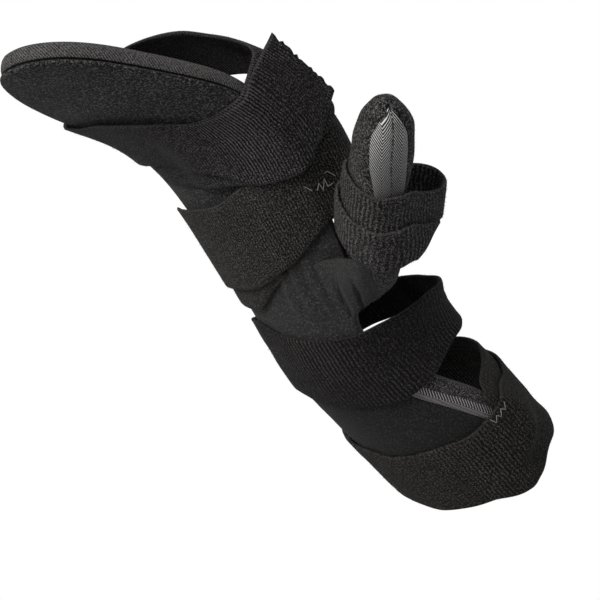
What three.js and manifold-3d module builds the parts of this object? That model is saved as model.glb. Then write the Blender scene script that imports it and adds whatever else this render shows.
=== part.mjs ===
// Resting hand splint for a right hand, as it is worn: a padded trough under the forearm, palm and
// fingers, a padded thumb stay on the thumb side, four wide straps and a thumb strap.
// Millimetres. +Y towards the fingertips, +Z out of the back of the hand, -X towards the thumb.
// The origin lies on the lining of the pad, on its middle line, at the wrist.

import * as THREE from "three";
import { mergeVertices } from "three/addons/utils/BufferGeometryUtils.js";
import Module from "manifold-3d";

const wasm = await Module();
wasm.setup();

// Lengths of the pad on both sides of the wrist, along its middle line
const FOREARM_LENGTH = 106;
const HAND_LENGTH = 196;

// Section of the pad
const LINING_THICKNESS = 7.8;
const COVER_THICKNESS = 2.2;
const TROUGH_RADIUS = 38;
const PAD_HALF_WIDTH = 44;
const PAD_EDGE_ROUND = 1.6;

// Plan of the pad: where the two borders start to round towards the fingertips, and the corners
const TIP_ROUND_THUMB_SIDE = 66;
const TIP_ROUND_LITTLE_SIDE = 81;
const FOREARM_CORNER = 16;

// Bends of the middle line, in degrees
const WRIST_BEND = 19;
const KNUCKLE_BEND = 42.5;
const FINGER_BEND = 12;

// Space inside the straps, round forearm and hand
const LIMB_HALF_WIDTH = 42;
const LIMB_HEIGHT = 56;
const PALM_SHIFT = 7;

// Straps
const STRAP_THICKNESS = 2;
const FINGER_STRAP_WIDTH = 42;
const PALM_STRAP_WIDTH = 41;
const WRIST_STRAP_WIDTH = 38;
const FOREARM_STRAP_WIDTH = 38;
const STRAP_END_REACH = 9;

// Edge tape on the thumb side of the forearm
const TAPE_WIDTH = 10;
const TAPE_LENGTH = 74;
const TAPE_END = 1;

// Thumb stay: where it leaves the pad, how it reaches out, and its post
const THUMB_ROOT_AT = 24;
const THUMB_ROOT_IN = 30;
const THUMB_OUT = 31.6;
const THUMB_RISE = 0.4;
const THUMB_FORWARD = 8.5;
const THUMB_POST_LENGTH = 76;
const THUMB_POST_WIDTH = 27;
const THUMB_POST_THICKNESS = 19;
const THUMB_SPREAD = 41;
const THUMB_TURN = 28;
const THUMB_TAPE_THICKNESS = 1.6;

// Thumb strap
const THUMB_HALF_WIDTH = 10.5;
const THUMB_STRAP_WIDTH = 18;
const THUMB_STRAP_AT = 26;
const THUMB_STRAP_PITCH = 15;
const THUMB_STRAP_TILT = 8;
const THUMB_STRAP_SLANT = 45;

// Fits
const SEAM_GAP = 0.4;
const PLY_GAP = 0.3;
const STRAP_SEAT = 0.5;
const TAPE_SEAT = 0.5;

const PAD_LENGTH = FOREARM_LENGTH + HAND_LENGTH;
const PAD_THICKNESS = LINING_THICKNESS + SEAM_GAP + COVER_THICKNESS;
const PLY_RISE = STRAP_THICKNESS + PLY_GAP;
const PAD_ROWS = 18;
const PAD_PARTS = 13;
const BAND_PARTS = 3;
const STRAP_STEP = 8;
const THUMB_STRAP_STEP = 10;

// Stations are written along the middle line: -1 forearm end, 0 wrist, 1 fingertips
const BENDS = [
  { from: -0.41, to: 0.02, turn: WRIST_BEND },
  { from: 0.37, to: 0.68, turn: -KNUCKLE_BEND },
  { from: 0.69, to: 1.12, turn: -FINGER_BEND },
];

// Sections, as shares: bend of the trough radius, thumb and little of the pad half width,
// wide and high of the limb, shift of the palm shift
const SECTIONS = [
  { along: -1.00, bend: 1.00, thumb: 1.16, little: 1.30, wide: 0.84, high: 1.00, shift: 0.0 },
  { along: -0.81, bend: 0.97, thumb: 1.10, little: 1.27, wide: 0.84, high: 1.02, shift: 0.0 },
  { along: -0.64, bend: 0.97, thumb: 1.00, little: 1.25, wide: 0.84, high: 1.03, shift: 0.0 },
  { along: -0.40, bend: 0.97, thumb: 0.82, little: 1.23, wide: 0.85, high: 1.03, shift: -0.1 },
  { along: -0.20, bend: 1.01, thumb: 0.70, little: 1.20, wide: 0.89, high: 1.02, shift: -0.4 },
  { along: -0.07, bend: 1.05, thumb: 0.60, little: 1.18, wide: 0.94, high: 1.00, shift: -0.7 },
  { along: 0.02, bend: 1.14, thumb: 0.66, little: 1.16, wide: 0.96, high: 0.95, shift: -0.7 },
  { along: 0.10, bend: 1.26, thumb: 0.82, little: 1.14, wide: 0.98, high: 0.88, shift: -0.7 },
  { along: 0.27, bend: 1.58, thumb: 0.91, little: 1.09, wide: 1.04, high: 0.78, shift: -0.7 },
  { along: 0.40, bend: 2.10, thumb: 1.00, little: 1.07, wide: 1.10, high: 0.76, shift: -0.6 },
  { along: 0.58, bend: 3.42, thumb: 1.03, little: 1.20, wide: 1.00, high: 0.62, shift: -0.1 },
  { along: 0.84, bend: 5.79, thumb: 0.86, little: 1.06, wide: 0.83, high: 0.40, shift: -0.1 },
  { along: 1.00, bend: 6.37, thumb: 0.82, little: 0.80, wide: 0.77, high: 0.34, shift: 0.0 },
];

// Paths of the straps round the section, by turn in degrees: 0 thumb side, 90 back of the hand,
// 180 little side, 270 under the pad. Lead is how far the middle of the band lies towards the
// fingers, as a share of its width, and lift how many plies its near edge lies on.
const FINGER_PATH = [
  { turn: 215, lead: -0.08, lift: 0 },
  { turn: 250, lead: -0.16, lift: 0 },
  { turn: 290, lead: -0.26, lift: 1.9 },
  { turn: 310, lead: -0.34, lift: 1.9 },
  { turn: 328, lead: -0.42, lift: 1.35 },
  { turn: 360, lead: -0.44, lift: 1.35 },
  { turn: 384, lead: -0.42, lift: 1.35 },
  { turn: 412, lead: -0.28, lift: 1.35 },
  { turn: 432, lead: -0.12, lift: 0 },
  { turn: 540, lead: 0.20, lift: 0 },
  { turn: 590, lead: 0.26, lift: 0 },
  { turn: 614, lead: 0.19, lift: 0 },
  { turn: 650, lead: -0.02, lift: 1.9 },
  { turn: 668, lead: -0.25, lift: 1.9 },
  { turn: 678, lead: -0.40, lift: 1.35 },
  { turn: 700, lead: -0.46, lift: 1.35 },
  { turn: 720, lead: -0.40, lift: 1.35 },
];
const PALM_PATH = [
  { turn: -155, lead: -0.12, lift: 0 },
  { turn: -112, lead: -0.16, lift: 0 },
  { turn: -94, lead: -0.18, lift: 0 },
  { turn: -50, lead: -0.06, lift: 0 },
  { turn: -24, lead: 0.13, lift: 0 },
  { turn: -12, lead: 0.20, lift: 0 },
  { turn: 18, lead: 0.18, lift: 0 },
  { turn: 60, lead: 0.02, lift: 0 },
  { turn: 120, lead: -0.10, lift: 0 },
  { turn: 200, lead: -0.35, lift: 0 },
  { turn: 250, lead: -0.45, lift: 0 },
  { turn: 280, lead: -0.28, lift: 0 },
  { turn: 302, lead: -0.14, lift: 0 },
];
const WRIST_PATH = [
  { turn: 90, lead: -0.10, lift: 0 },
  { turn: 160, lead: 0.12, lift: 0 },
  { turn: 200, lead: 0.35, lift: 0 },
  { turn: 232, lead: 0.42, lift: 0 },
  { turn: 256, lead: 0.28, lift: 0 },
  { turn: 276, lead: 0.15, lift: 0 },
  { turn: 292, lead: 0.07, lift: 0 },
  { turn: 312, lead: -0.03, lift: 0 },
  { turn: 340, lead: -0.09, lift: 0 },
  { turn: 366, lead: -0.08, lift: 0 },
  { turn: 400, lead: -0.13, lift: 0 },
  { turn: 450, lead: -0.08, lift: 0 },
  { turn: 520, lead: 0.15, lift: 0 },
  { turn: 560, lead: 0.35, lift: 0 },
];
const FOREARM_PATH = [
  { turn: -6, lead: 0.04, lift: 0 },
  { turn: 4, lead: 0.16, lift: 0 },
  { turn: 46, lead: 0.16, lift: 0 },
  { turn: 90, lead: 0.18, lift: 0 },
  { turn: 180, lead: 0.35, lift: 0 },
  { turn: 235, lead: 0.30, lift: 0 },
  { turn: 256, lead: 0.24, lift: 0 },
  { turn: 278, lead: 0.07, lift: 0 },
  { turn: 294, lead: 0.02, lift: 0 },
  { turn: 318, lead: -0.08, lift: 0 },
  { turn: 336, lead: -0.14, lift: 0 },
  { turn: 350, lead: -0.13, lift: 0 },
  { turn: 366, lead: -0.06, lift: 0 },
  { turn: 392, lead: -0.18, lift: 0 },
  { turn: 450, lead: -0.10, lift: 0 },
];

const STRAPS = [
  {
    name: "finger_strap", along: 0.561, width: FINGER_STRAP_WIDTH, path: FINGER_PATH,
    reach: STRAP_END_REACH,
  },
  { name: "palm_strap", along: 0.291, width: PALM_STRAP_WIDTH, path: PALM_PATH, backwards: true },
  { name: "wrist_strap", along: -0.214, width: WRIST_STRAP_WIDTH, path: WRIST_PATH },
  { name: "forearm_strap", along: -0.857, width: FOREARM_STRAP_WIDTH, path: FOREARM_PATH },
];

// Thumb stay from its root in the pad to its tip: width and thick are shares of the post's, and
// lean and sway are how far its middle lies towards its taped edge and towards the thumb, as
// shares of the post's half width and half thickness
const STAY_SECTIONS = [
  { along: 0.00, width: 1.10, thick: 0.38, lean: 0.00, sway: 0.00 },
  { along: 0.10, width: 1.28, thick: 0.46, lean: 0.00, sway: 0.00 },
  { along: 0.22, width: 1.26, thick: 0.66, lean: 0.00, sway: 0.00 },
  { along: 0.35, width: 1.12, thick: 0.88, lean: 0.00, sway: 0.00 },
  { along: 0.55, width: 1.00, thick: 1.02, lean: 0.00, sway: 0.00 },
  { along: 0.75, width: 0.94, thick: 1.00, lean: 0.03, sway: 0.00 },
  { along: 0.88, width: 0.80, thick: 0.80, lean: 0.16, sway: 0.08 },
  { along: 0.95, width: 0.58, thick: 0.58, lean: 0.34, sway: 0.14 },
  { along: 0.99, width: 0.32, thick: 0.36, lean: 0.50, sway: 0.16 },
  { along: 1.00, width: 0.14, thick: 0.20, lean: 0.56, sway: 0.18 },
];

// Width of the tape on the edge of the stay, as a share of the stay's own thickness there
const STAY_TAPE = [
  { along: 0.1, width: 0.30 },
  { along: 0.3, width: 0.58 },
  { along: 0.5, width: 0.74 },
  { along: 0.75, width: 0.80 },
  { along: 0.9, width: 0.74 },
  { along: 0.97, width: 0.62 },
  { along: 0.99, width: 0.40 },
];

const RAD = Math.PI / 180;
const clamp = (x, low, high) => Math.min(Math.max(x, low), high);
const smooth = (x) => {
  const t = clamp(x, 0, 1);
  return t * t * (3 - 2 * t);
};

// Value of one column of a table, with no overshoot between its rows
function column(rows, key, at, x) {
  const last = rows.length - 1;
  const p = clamp(x, rows[0][at], rows[last][at]);
  let i = 0;
  while (i < last - 1 && p > rows[i + 1][at]) i += 1;
  const slope = (k) => (rows[k + 1][key] - rows[k][key]) / (rows[k + 1][at] - rows[k][at]);
  const tangent = (k) => {
    if (k === 0) return slope(0);
    if (k === last) return slope(last - 1);
    const a = slope(k - 1);
    const b = slope(k);
    return a * b > 0 ? (2 * a * b) / (a + b) : 0;
  };
  const h = rows[i + 1][at] - rows[i][at];
  const t = (p - rows[i][at]) / h;
  const t2 = t * t;
  const t3 = t2 * t;
  return rows[i][key] * (2 * t3 - 3 * t2 + 1) + h * tangent(i) * (t3 - 2 * t2 + t)
    + rows[i + 1][key] * (3 * t2 - 2 * t3) + h * tangent(i + 1) * (t3 - t2);
}

const toAlong = (s) => (s < FOREARM_LENGTH
  ? (s - FOREARM_LENGTH) / FOREARM_LENGTH
  : (s - FOREARM_LENGTH) / HAND_LENGTH);
const toStation = (along) => FOREARM_LENGTH + along * (along < 0 ? FOREARM_LENGTH : HAND_LENGTH);
const section = (key, s) => column(SECTIONS, key, "along", toAlong(s));

// Middle line: its slope at a station, and its places, worked out in short steps
function slopeAt(s) {
  const along = toAlong(s);
  return BENDS.reduce((sum, b) => sum + b.turn * smooth((along - b.from) / (b.to - b.from)), 0) * RAD;
}

const STEP = 0.5;
const OVERRUN = 60;
const line = [{ y: 0, z: 0 }];
for (let s = -OVERRUN; s < PAD_LENGTH + OVERRUN; s += STEP) {
  const last = line[line.length - 1];
  const slope = slopeAt(s + STEP / 2);
  line.push({ y: last.y + STEP * Math.cos(slope), z: last.z + STEP * Math.sin(slope) });
}
function lineAt(s) {
  const p = clamp((s + OVERRUN) / STEP, 0, line.length - 1.001);
  const i = Math.floor(p);
  const f = p - i;
  return {
    y: line[i].y + f * (line[i + 1].y - line[i].y),
    z: line[i].z + f * (line[i + 1].z - line[i].z),
  };
}
const seat = lineAt(FOREARM_LENGTH);

// Point of a section: x across, z above the lining's middle line
function place(s, x, z) {
  const mid = lineAt(s);
  const slope = slopeAt(s);
  return new THREE.Vector3(
    x,
    mid.y - seat.y - Math.sin(slope) * z,
    mid.z - seat.z + Math.cos(slope) * z,
  );
}

// Half width of the pad towards the thumb (side 1) or the little finger (side -1)
function border(s, side) {
  const round = side > 0 ? TIP_ROUND_THUMB_SIDE : TIP_ROUND_LITTLE_SIDE;
  const k = clamp((s - PAD_LENGTH + round) / round, 0, 1);
  const tip = (1 - k ** 2.3) ** (1 / 2.3);
  const j = clamp((FOREARM_CORNER - s) / FOREARM_CORNER, 0, 1);
  const corner = FOREARM_CORNER * (1 - Math.sqrt(1 - j * j));
  return section(side > 0 ? "thumb" : "little", s) * PAD_HALF_WIDTH * tip - corner;
}

// Point of the pad: w along its arc towards the thumb, depth below the lining's face
function trough(s, w, depth) {
  const radius = section("bend", s) * TROUGH_RADIUS;
  return {
    x: -(radius + depth) * Math.sin(w / radius),
    z: radius - (radius + depth) * Math.cos(w / radius),
  };
}
function padPoint(s, w, depth) {
  const p = trough(s, w, depth);
  return place(s, p.x, p.z);
}

// Closed body between two grids of points with the same rows and columns
function slab(upper, lower) {
  const rows = upper.length;
  const cols = upper[0].length;
  const points = [...upper.flat(), ...lower.flat()];
  const at = (side, i, j) => side * rows * cols + i * cols + j;
  const index = [];
  const quad = (a, b, c, d) => index.push(a, b, c, a, c, d);
  for (let i = 0; i < rows - 1; i += 1) {
    for (let j = 0; j < cols - 1; j += 1) {
      quad(at(0, i, j), at(0, i, j + 1), at(0, i + 1, j + 1), at(0, i + 1, j));
      quad(at(1, i, j), at(1, i + 1, j), at(1, i + 1, j + 1), at(1, i, j + 1));
    }
    quad(at(0, i, 0), at(0, i + 1, 0), at(1, i + 1, 0), at(1, i, 0));
    quad(at(0, i, cols - 1), at(1, i, cols - 1), at(1, i + 1, cols - 1), at(0, i + 1, cols - 1));
  }
  for (let j = 0; j < cols - 1; j += 1) {
    quad(at(0, 0, j), at(1, 0, j), at(1, 0, j + 1), at(0, 0, j + 1));
    quad(at(0, rows - 1, j), at(0, rows - 1, j + 1), at(1, rows - 1, j + 1), at(1, rows - 1, j));
  }
  return facingOut(points, index);
}

// Closed body through rings of points, with flat ends
function loft(rings) {
  const count = rings[0].length;
  const points = rings.flat();
  const index = [];
  for (let i = 0; i < rings.length - 1; i += 1) {
    for (let j = 0; j < count; j += 1) {
      const k = (j + 1) % count;
      const a = i * count;
      const b = a + count;
      index.push(a + j, a + k, b + k, a + j, b + k, b + j);
    }
  }
  const end = (rings.length - 1) * count;
  for (let j = 1; j < count - 1; j += 1) {
    index.push(0, j + 1, j, end, end + j, end + j + 1);
  }
  return facingOut(points, index);
}

function facingOut(points, index) {
  const volume = (order) => {
    let sum = 0;
    for (let i = 0; i < order.length; i += 3) {
      const [a, b, c] = [points[order[i]], points[order[i + 1]], points[order[i + 2]]];
      sum += a.dot(b.clone().cross(c));
    }
    return sum;
  };
  const order = volume(index) > 0 ? index : index.map((_, i) => index[i - (i % 3) + 2 - (i % 3)]);
  const geometry = new THREE.BufferGeometry();
  const places = points.flatMap((p) => [p.x, p.y, p.z]);
  geometry.setAttribute("position", new THREE.Float32BufferAttribute(places, 3));
  geometry.setIndex(order);
  return geometry;
}

// Boolean work on closed geometries
function toSolid(geometry) {
  const bare = new THREE.BufferGeometry();
  bare.setAttribute("position", geometry.getAttribute("position"));
  bare.setIndex(geometry.getIndex());
  const merged = mergeVertices(bare, 1e-4);
  return new wasm.Manifold(new wasm.Mesh({
    numProp: 3,
    vertProperties: new Float32Array(merged.getAttribute("position").array),
    triVerts: new Uint32Array(merged.getIndex().array),
  }));
}
function fromSolid(solid) {
  const mesh = solid.getMesh();
  const geometry = new THREE.BufferGeometry();
  geometry.setAttribute("position", new THREE.Float32BufferAttribute(mesh.vertProperties, 3));
  geometry.setIndex([...mesh.triVerts]);
  return geometry;
}

// Stations of the pad, closer together over its corners and where the fingertip end rounds
function padStations(count) {
  const corner = [0, 0.05, 0.25, 0.6, 1].map((share) => share * FOREARM_CORNER);
  const round = Math.max(TIP_ROUND_THUMB_SIDE, TIP_ROUND_LITTLE_SIDE) * 0.55;
  const ramp = [0, 0.3, 0.7, 1].map((share) => TAPE_LENGTH + TAPE_END + share * TAPE_WIDTH);
  const before = spread(FOREARM_CORNER, ramp[0], Math.round(count * 0.3)).slice(1);
  const after = spread(ramp[3], PAD_LENGTH - round, Math.round(count * 0.7)).slice(1);
  const tip = spread(0, 1, 9).slice(1).map((share) => PAD_LENGTH - round * (1 - share) ** 2);
  tip[tip.length - 1] = PAD_LENGTH - 0.08;
  return [...corner, ...before, ...ramp.slice(1), ...after, ...tip];
}

// Narrowing of the cover where the edge tape takes its place
const tapeInset = (s) => (TAPE_WIDTH + SEAM_GAP) * (1 - smooth((s - TAPE_LENGTH - TAPE_END) / TAPE_WIDTH));

function buildLining() {
  const upper = [];
  const lower = [];
  for (const s of padStations(PAD_ROWS)) {
    const thumb = border(s, 1);
    const little = border(s, -1);
    const round = Math.min(PAD_EDGE_ROUND, thumb / 3);
    const widths = [-little, ...spread(-little + round, thumb - round, PAD_PARTS), thumb];
    upper.push(widths.map((w, i) => padPoint(s, w, i === 0 || i === widths.length - 1 ? round : 0)));
    lower.push(widths.map((w) => padPoint(s, w, LINING_THICKNESS)));
  }
  return slab(upper, lower);
}

function spread(from, to, count) {
  return Array.from({ length: count + 1 }, (_, i) => from + ((to - from) * i) / count);
}

function buildCover() {
  const inner = LINING_THICKNESS + SEAM_GAP;
  const upper = [];
  const lower = [];
  for (const s of padStations(PAD_ROWS)) {
    const thumb = border(s, 1) - tapeInset(s);
    const little = border(s, -1);
    const round = Math.min(PAD_EDGE_ROUND, border(s, 1) / 3);
    const widths = [-little, ...spread(-little + round, thumb - round, PAD_PARTS), thumb];
    upper.push(widths.map((w) => padPoint(s, w, inner)));
    lower.push(widths.map((w, i) => padPoint(s, w,
      i === 0 || i === widths.length - 1 ? PAD_THICKNESS - round : PAD_THICKNESS)));
  }
  return slab(upper, lower);
}

function buildForearmTape() {
  const inner = LINING_THICKNESS + SEAM_GAP;
  const upper = [];
  const lower = [];
  for (const s of [...padStations(PAD_ROWS).filter((p) => p < TAPE_LENGTH), TAPE_LENGTH]) {
    const edge = border(s, 1);
    const widths = [...spread(edge - TAPE_WIDTH, edge - PAD_EDGE_ROUND, 2), edge];
    upper.push(widths.map((w) => padPoint(s, w, inner)));
    lower.push(widths.map((w, i) => padPoint(s, w,
      i === widths.length - 1 ? PAD_THICKNESS - PAD_EDGE_ROUND : PAD_THICKNESS)));
  }
  return slab(upper, lower);
}

// Space that the pad and its cover fill, with a gap all round
function buildPadSpace(gap) {
  const upper = [];
  const lower = [];
  for (const s of padStations(PAD_ROWS)) {
    const widths = spread(-border(s, -1) - gap, border(s, 1) + gap, 20);
    upper.push(widths.map((w) => padPoint(s, w, -gap)));
    lower.push(widths.map((w) => padPoint(s, w, PAD_THICKNESS + gap)));
  }
  return slab(upper, lower);
}

// Taut wrap round a set of supports: how far it reaches along each direction, and its radius
const SIDES = 60;
const SIDE_TURN = (2 * Math.PI) / SIDES;
function reaches(supports, limb) {
  return Array.from({ length: SIDES }, (_, i) => {
    const c = -Math.cos(i * SIDE_TURN);
    const d = Math.sin(i * SIDE_TURN);
    const far = supports.reduce((most, p) => Math.max(most, p.x * c + p.z * d + (p.r || 0)), -Infinity);
    if (!limb) return far;
    return Math.max(far, limb.x * c + limb.z * d + Math.hypot(limb.wide * c, limb.high * d));
  });
}
function wrapPoint(reach, turn, offset) {
  let radius = Infinity;
  for (let i = 0; i < SIDES; i += 1) {
    const c = Math.cos(i * SIDE_TURN - turn * RAD);
    if (c > 0.05) radius = Math.min(radius, (reach[i] + offset) / c);
  }
  return { x: -radius * Math.cos(turn * RAD), z: radius * Math.sin(turn * RAD) };
}

// Height of the middle of the wrap above the lining
const wrapCentre = (s) => section("high", s) * LIMB_HEIGHT * 0.42;

const wrapCache = new Map();
function padWrap(s) {
  const key = s.toFixed(3);
  if (!wrapCache.has(key)) {
    const centre = wrapCentre(s);
    const supports = [];
    for (let i = -6; i <= 6; i += 1) {
      const side = i < 0 ? -1 : 1;
      const edge = Math.max(border(clamp(s, 0, PAD_LENGTH - 1), side), 4);
      const add = (w, depth) => {
        const p = trough(s, w * side, depth);
        supports.push({ x: p.x, z: p.z - centre });
      };
      add((Math.abs(i) / 6) * (edge - PAD_EDGE_ROUND), PAD_THICKNESS);
      if (Math.abs(i) === 6) {
        add(edge, PAD_THICKNESS - PAD_EDGE_ROUND);
        add(edge, PAD_EDGE_ROUND);
        add(edge - PAD_EDGE_ROUND, 0);
      }
    }
    const high = (section("high", s) * LIMB_HEIGHT) / 2;
    wrapCache.set(key, reaches(supports, {
      x: section("shift", s) * PALM_SHIFT,
      z: high - centre,
      wide: section("wide", s) * LIMB_HALF_WIDTH,
      high,
    }));
  }
  return wrapCache.get(key);
}

function buildStrap(strap) {
  const path = strap.path;
  const from = path[0].turn;
  const to = path[path.length - 1].turn;
  const middle = toStation(strap.along);
  const upper = [];
  const lower = [];
  for (const turn of spread(from, to, Math.round((to - from) / STRAP_STEP))) {
    const centre = middle + column(path, "lead", "turn", turn) * strap.width;
    const lift = column(path, "lift", "turn", turn);
    const lap = secondLap(strap.backwards ? to - turn : turn - from);
    const outer = [];
    const inner = [];
    for (let j = 0; j <= BAND_PARTS; j += 1) {
      const s = centre + (0.5 - j / BAND_PARTS) * strap.width;
      const rise = STRAP_SEAT + (lap + lift * Math.min(1, (2 * j) / BAND_PARTS)) * PLY_RISE;
      const point = (offset) => {
        const p = wrapPoint(padWrap(s), turn, rise + offset);
        return place(s, p.x, wrapCentre(s) + p.z);
      };
      outer.push(point(STRAP_THICKNESS));
      inner.push(point(0));
    }
    upper.push(outer);
    lower.push(inner);
  }
  if (strap.reach) {
    for (const grid of [upper, lower]) {
      const last = grid[grid.length - 1];
      const before = grid[grid.length - 2];
      grid.push(last.map((p, i) => p.clone()
        .addScaledVector(p.clone().sub(before[i]).normalize(), strap.reach)));
    }
  }
  return clearOf(slab(upper, lower), padSpace);
}

// How many plies a band lies on: its second lap climbs over the start of its first
const secondLap = (run) => smooth((run - 346) / 12);

// Frame of the thumb post: its own direction, the way its edge faces and the way to the thumb
const handSlope = slopeAt(toStation(0.2));
const handAxis = new THREE.Vector3(0, Math.cos(handSlope), Math.sin(handSlope));
const palmAxis = new THREE.Vector3(0, Math.sin(handSlope), -Math.cos(handSlope));
const thumbSide = new THREE.Vector3(-1, 0, 0);
const mix = (a, va, b, vb) => va.clone().multiplyScalar(a).addScaledVector(vb, b);
const postAxis = mix(Math.cos(THUMB_SPREAD * RAD), handAxis, Math.sin(THUMB_SPREAD * RAD), thumbSide);
const postSide = mix(-Math.sin(THUMB_SPREAD * RAD), handAxis, Math.cos(THUMB_SPREAD * RAD), thumbSide);
const postEdge = mix(Math.cos(THUMB_TURN * RAD), postSide, Math.sin(THUMB_TURN * RAD), palmAxis);
const towardsThumb = mix(Math.sin(THUMB_TURN * RAD), postSide, -Math.cos(THUMB_TURN * RAD), palmAxis);

// Middle line of the stay: out of the pad along its arc, then up the post
const rootStation = toStation(0) + THUMB_ROOT_AT;
const rootDepth = PAD_THICKNESS * 0.45;
const root = padPoint(rootStation, THUMB_ROOT_IN, rootDepth);
const rootWay = padPoint(rootStation, THUMB_ROOT_IN + 1, rootDepth).sub(root).normalize();
const postStart = root.clone()
  .addScaledVector(thumbSide, THUMB_OUT)
  .addScaledVector(palmAxis, -THUMB_RISE)
  .addScaledVector(handAxis, THUMB_FORWARD);
const postPoint = (share) => postStart.clone().addScaledVector(postAxis, THUMB_POST_LENGTH * share);
const stayLine = new THREE.CatmullRomCurve3([
  root,
  root.clone().addScaledVector(rootWay, THUMB_OUT * 0.4),
  postStart,
  postPoint(0.33),
  postPoint(0.66),
  postPoint(1),
], false, "centripetal");

// Section of the stay: its middle and the two directions across it, turning out of the pad's
function stayFrame(along) {
  const middle = stayLine.getPointAt(clamp(along, 0, 1));
  const forward = stayLine.getTangentAt(clamp(along, 0, 1));
  const edge = handAxis.clone().negate().lerp(postEdge, smooth(along / 0.26));
  edge.addScaledVector(forward, -edge.dot(forward)).normalize();
  const flat = new THREE.Vector3().crossVectors(forward, edge).normalize();
  if (flat.dot(towardsThumb) < 0) flat.negate();
  middle.addScaledVector(edge, (column(STAY_SECTIONS, "lean", "along", along) * THUMB_POST_WIDTH) / 2);
  middle.addScaledVector(flat, (column(STAY_SECTIONS, "sway", "along", along) * THUMB_POST_THICKNESS) / 2);
  return { middle, edge, flat };
}
const stayHalfWidth = (along) => (column(STAY_SECTIONS, "width", "along", along) * THUMB_POST_WIDTH) / 2;
const stayHalfThick = (along) => (column(STAY_SECTIONS, "thick", "along", along) * THUMB_POST_THICKNESS) / 2;

const STAY_ALONGS = [...spread(0, 0.88, 15), 0.92, 0.95, 0.975, 0.99, 1];
const STAY_SIDES = 18;
const STAY_SQUARE = 0.72;

function stayRing(along) {
  const { middle, edge, flat } = stayFrame(along);
  const squash = (v) => Math.sign(v) * Math.abs(v) ** STAY_SQUARE;
  return spread(0, 2 * Math.PI, STAY_SIDES).slice(1).map((a) => middle.clone()
    .addScaledVector(edge, stayHalfWidth(along) * squash(Math.cos(a)))
    .addScaledVector(flat, stayHalfThick(along) * squash(Math.sin(a))));
}
const buildStay = () => loft(STAY_ALONGS.map(stayRing));

// Tape on the edge of the stay that faces out
function tapeRow(along, height) {
  const { middle, edge, flat } = stayFrame(along);
  const half = column(STAY_TAPE, "width", "along", along) * stayHalfThick(along);
  return spread(-half, half, 4).map((w) => {
    const share = clamp(Math.abs(w) / stayHalfThick(along), 0, 1);
    const bulge = (1 - share ** (2 / STAY_SQUARE)) ** (STAY_SQUARE / 2);
    return middle.clone()
      .addScaledVector(edge, stayHalfWidth(along) * bulge + height)
      .addScaledVector(flat, w);
  });
}
function buildStayTape() {
  const start = STAY_TAPE[0].along;
  const end = STAY_TAPE[STAY_TAPE.length - 1].along;
  const alongs = [start, ...STAY_ALONGS.filter((along) => along > start && along < end), end];
  return slab(
    alongs.map((along) => tapeRow(along, TAPE_SEAT + THUMB_TAPE_THICKNESS)),
    alongs.map((along) => tapeRow(along, TAPE_SEAT)),
  );
}

// Thumb strap: a band wound round the post and the thumb, its second lap lower than its first
function buildThumbStrap() {
  const from = 235;
  const to = 772;
  const centre = postStart.clone().addScaledVector(towardsThumb, THUMB_POST_THICKNESS / 2);
  const wrapAt = (height) => {
    const along = 1 - (THUMB_POST_LENGTH - height) / stayLine.getLength();
    const marks = [...stayRing(along), ...tapeRow(along, TAPE_SEAT + THUMB_TAPE_THICKNESS + PLY_GAP)].map((p) => {
      const q = p.clone().sub(centre);
      return { x: -q.dot(postEdge), z: q.dot(towardsThumb) };
    });
    return reaches([...marks, { x: 0, z: THUMB_HALF_WIDTH, r: THUMB_HALF_WIDTH }]);
  };
  const upper = [];
  const lower = [];
  for (const share of spread(0, 1, Math.round((to - from) / THUMB_STRAP_STEP))) {
    const outer = [];
    const inner = [];
    for (let j = 0; j <= 2; j += 1) {
      const turn = from + share * (to - from - (THUMB_STRAP_SLANT * j) / 2);
      const rise = STRAP_SEAT + secondLap(turn - from) * PLY_RISE;
      const height = THUMB_STRAP_AT
        - THUMB_STRAP_PITCH * smooth((turn - 450) / 190)
        - THUMB_STRAP_TILT * Math.max(0, Math.sin(turn * RAD))
        + (0.5 - j / 2) * THUMB_STRAP_WIDTH;
      const point = (offset) => {
        const p = wrapPoint(wrapAt(height), turn, rise + offset);
        return centre.clone()
          .addScaledVector(postAxis, height)
          .addScaledVector(postEdge, -p.x)
          .addScaledVector(towardsThumb, p.z);
      };
      outer.push(point(STRAP_THICKNESS));
      inner.push(point(0));
    }
    upper.push(outer);
    lower.push(inner);
  }
  return clearOf(slab(upper, lower), padSpace);
}

const fleece = new THREE.MeshStandardMaterial({ color: 0x2e2d2e, roughness: 0.95, metalness: 0 });
const loop = new THREE.MeshStandardMaterial({ color: 0x4a4646, roughness: 0.95, metalness: 0 });
const webbing = new THREE.MeshStandardMaterial({ color: 0x24221f, roughness: 0.9, metalness: 0 });
const tape = new THREE.MeshStandardMaterial({ color: 0x5c5a5a, roughness: 0.75, metalness: 0 });

const splint = new THREE.Group();
function add(name, geometry, material) {
  const mesh = new THREE.Mesh(geometry, material.clone());
  mesh.name = name;
  splint.add(mesh);
  return mesh;
}

// The stay and the straps are cut clear of the pad that they lie on, down to their one main body
function clearOf(geometry, space) {
  const bodies = toSolid(geometry).subtract(space).decompose();
  return fromSolid(bodies.reduce((main, body) => (body.volume() > main.volume() ? body : main)));
}
const padSpace = toSolid(buildPadSpace(PLY_GAP));
const stay = clearOf(buildStay(), padSpace);

add("splint_pad", buildLining(), loop);
add("outer_cover", buildCover(), fleece);
add("forearm_tape", buildForearmTape(), tape);
add("thumb_stay", stay, fleece);
add("thumb_tape", buildStayTape(), tape);
for (const strap of STRAPS) add(strap.name, buildStrap(strap), webbing);
add("thumb_strap", buildThumbStrap(), webbing);

export default splint;
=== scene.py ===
"""Resting hand splint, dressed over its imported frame: fleece, ribbed lining, knit straps, twill tape."""
import math

import bpy
import numpy as np
from mathutils import Matrix, Vector


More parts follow.
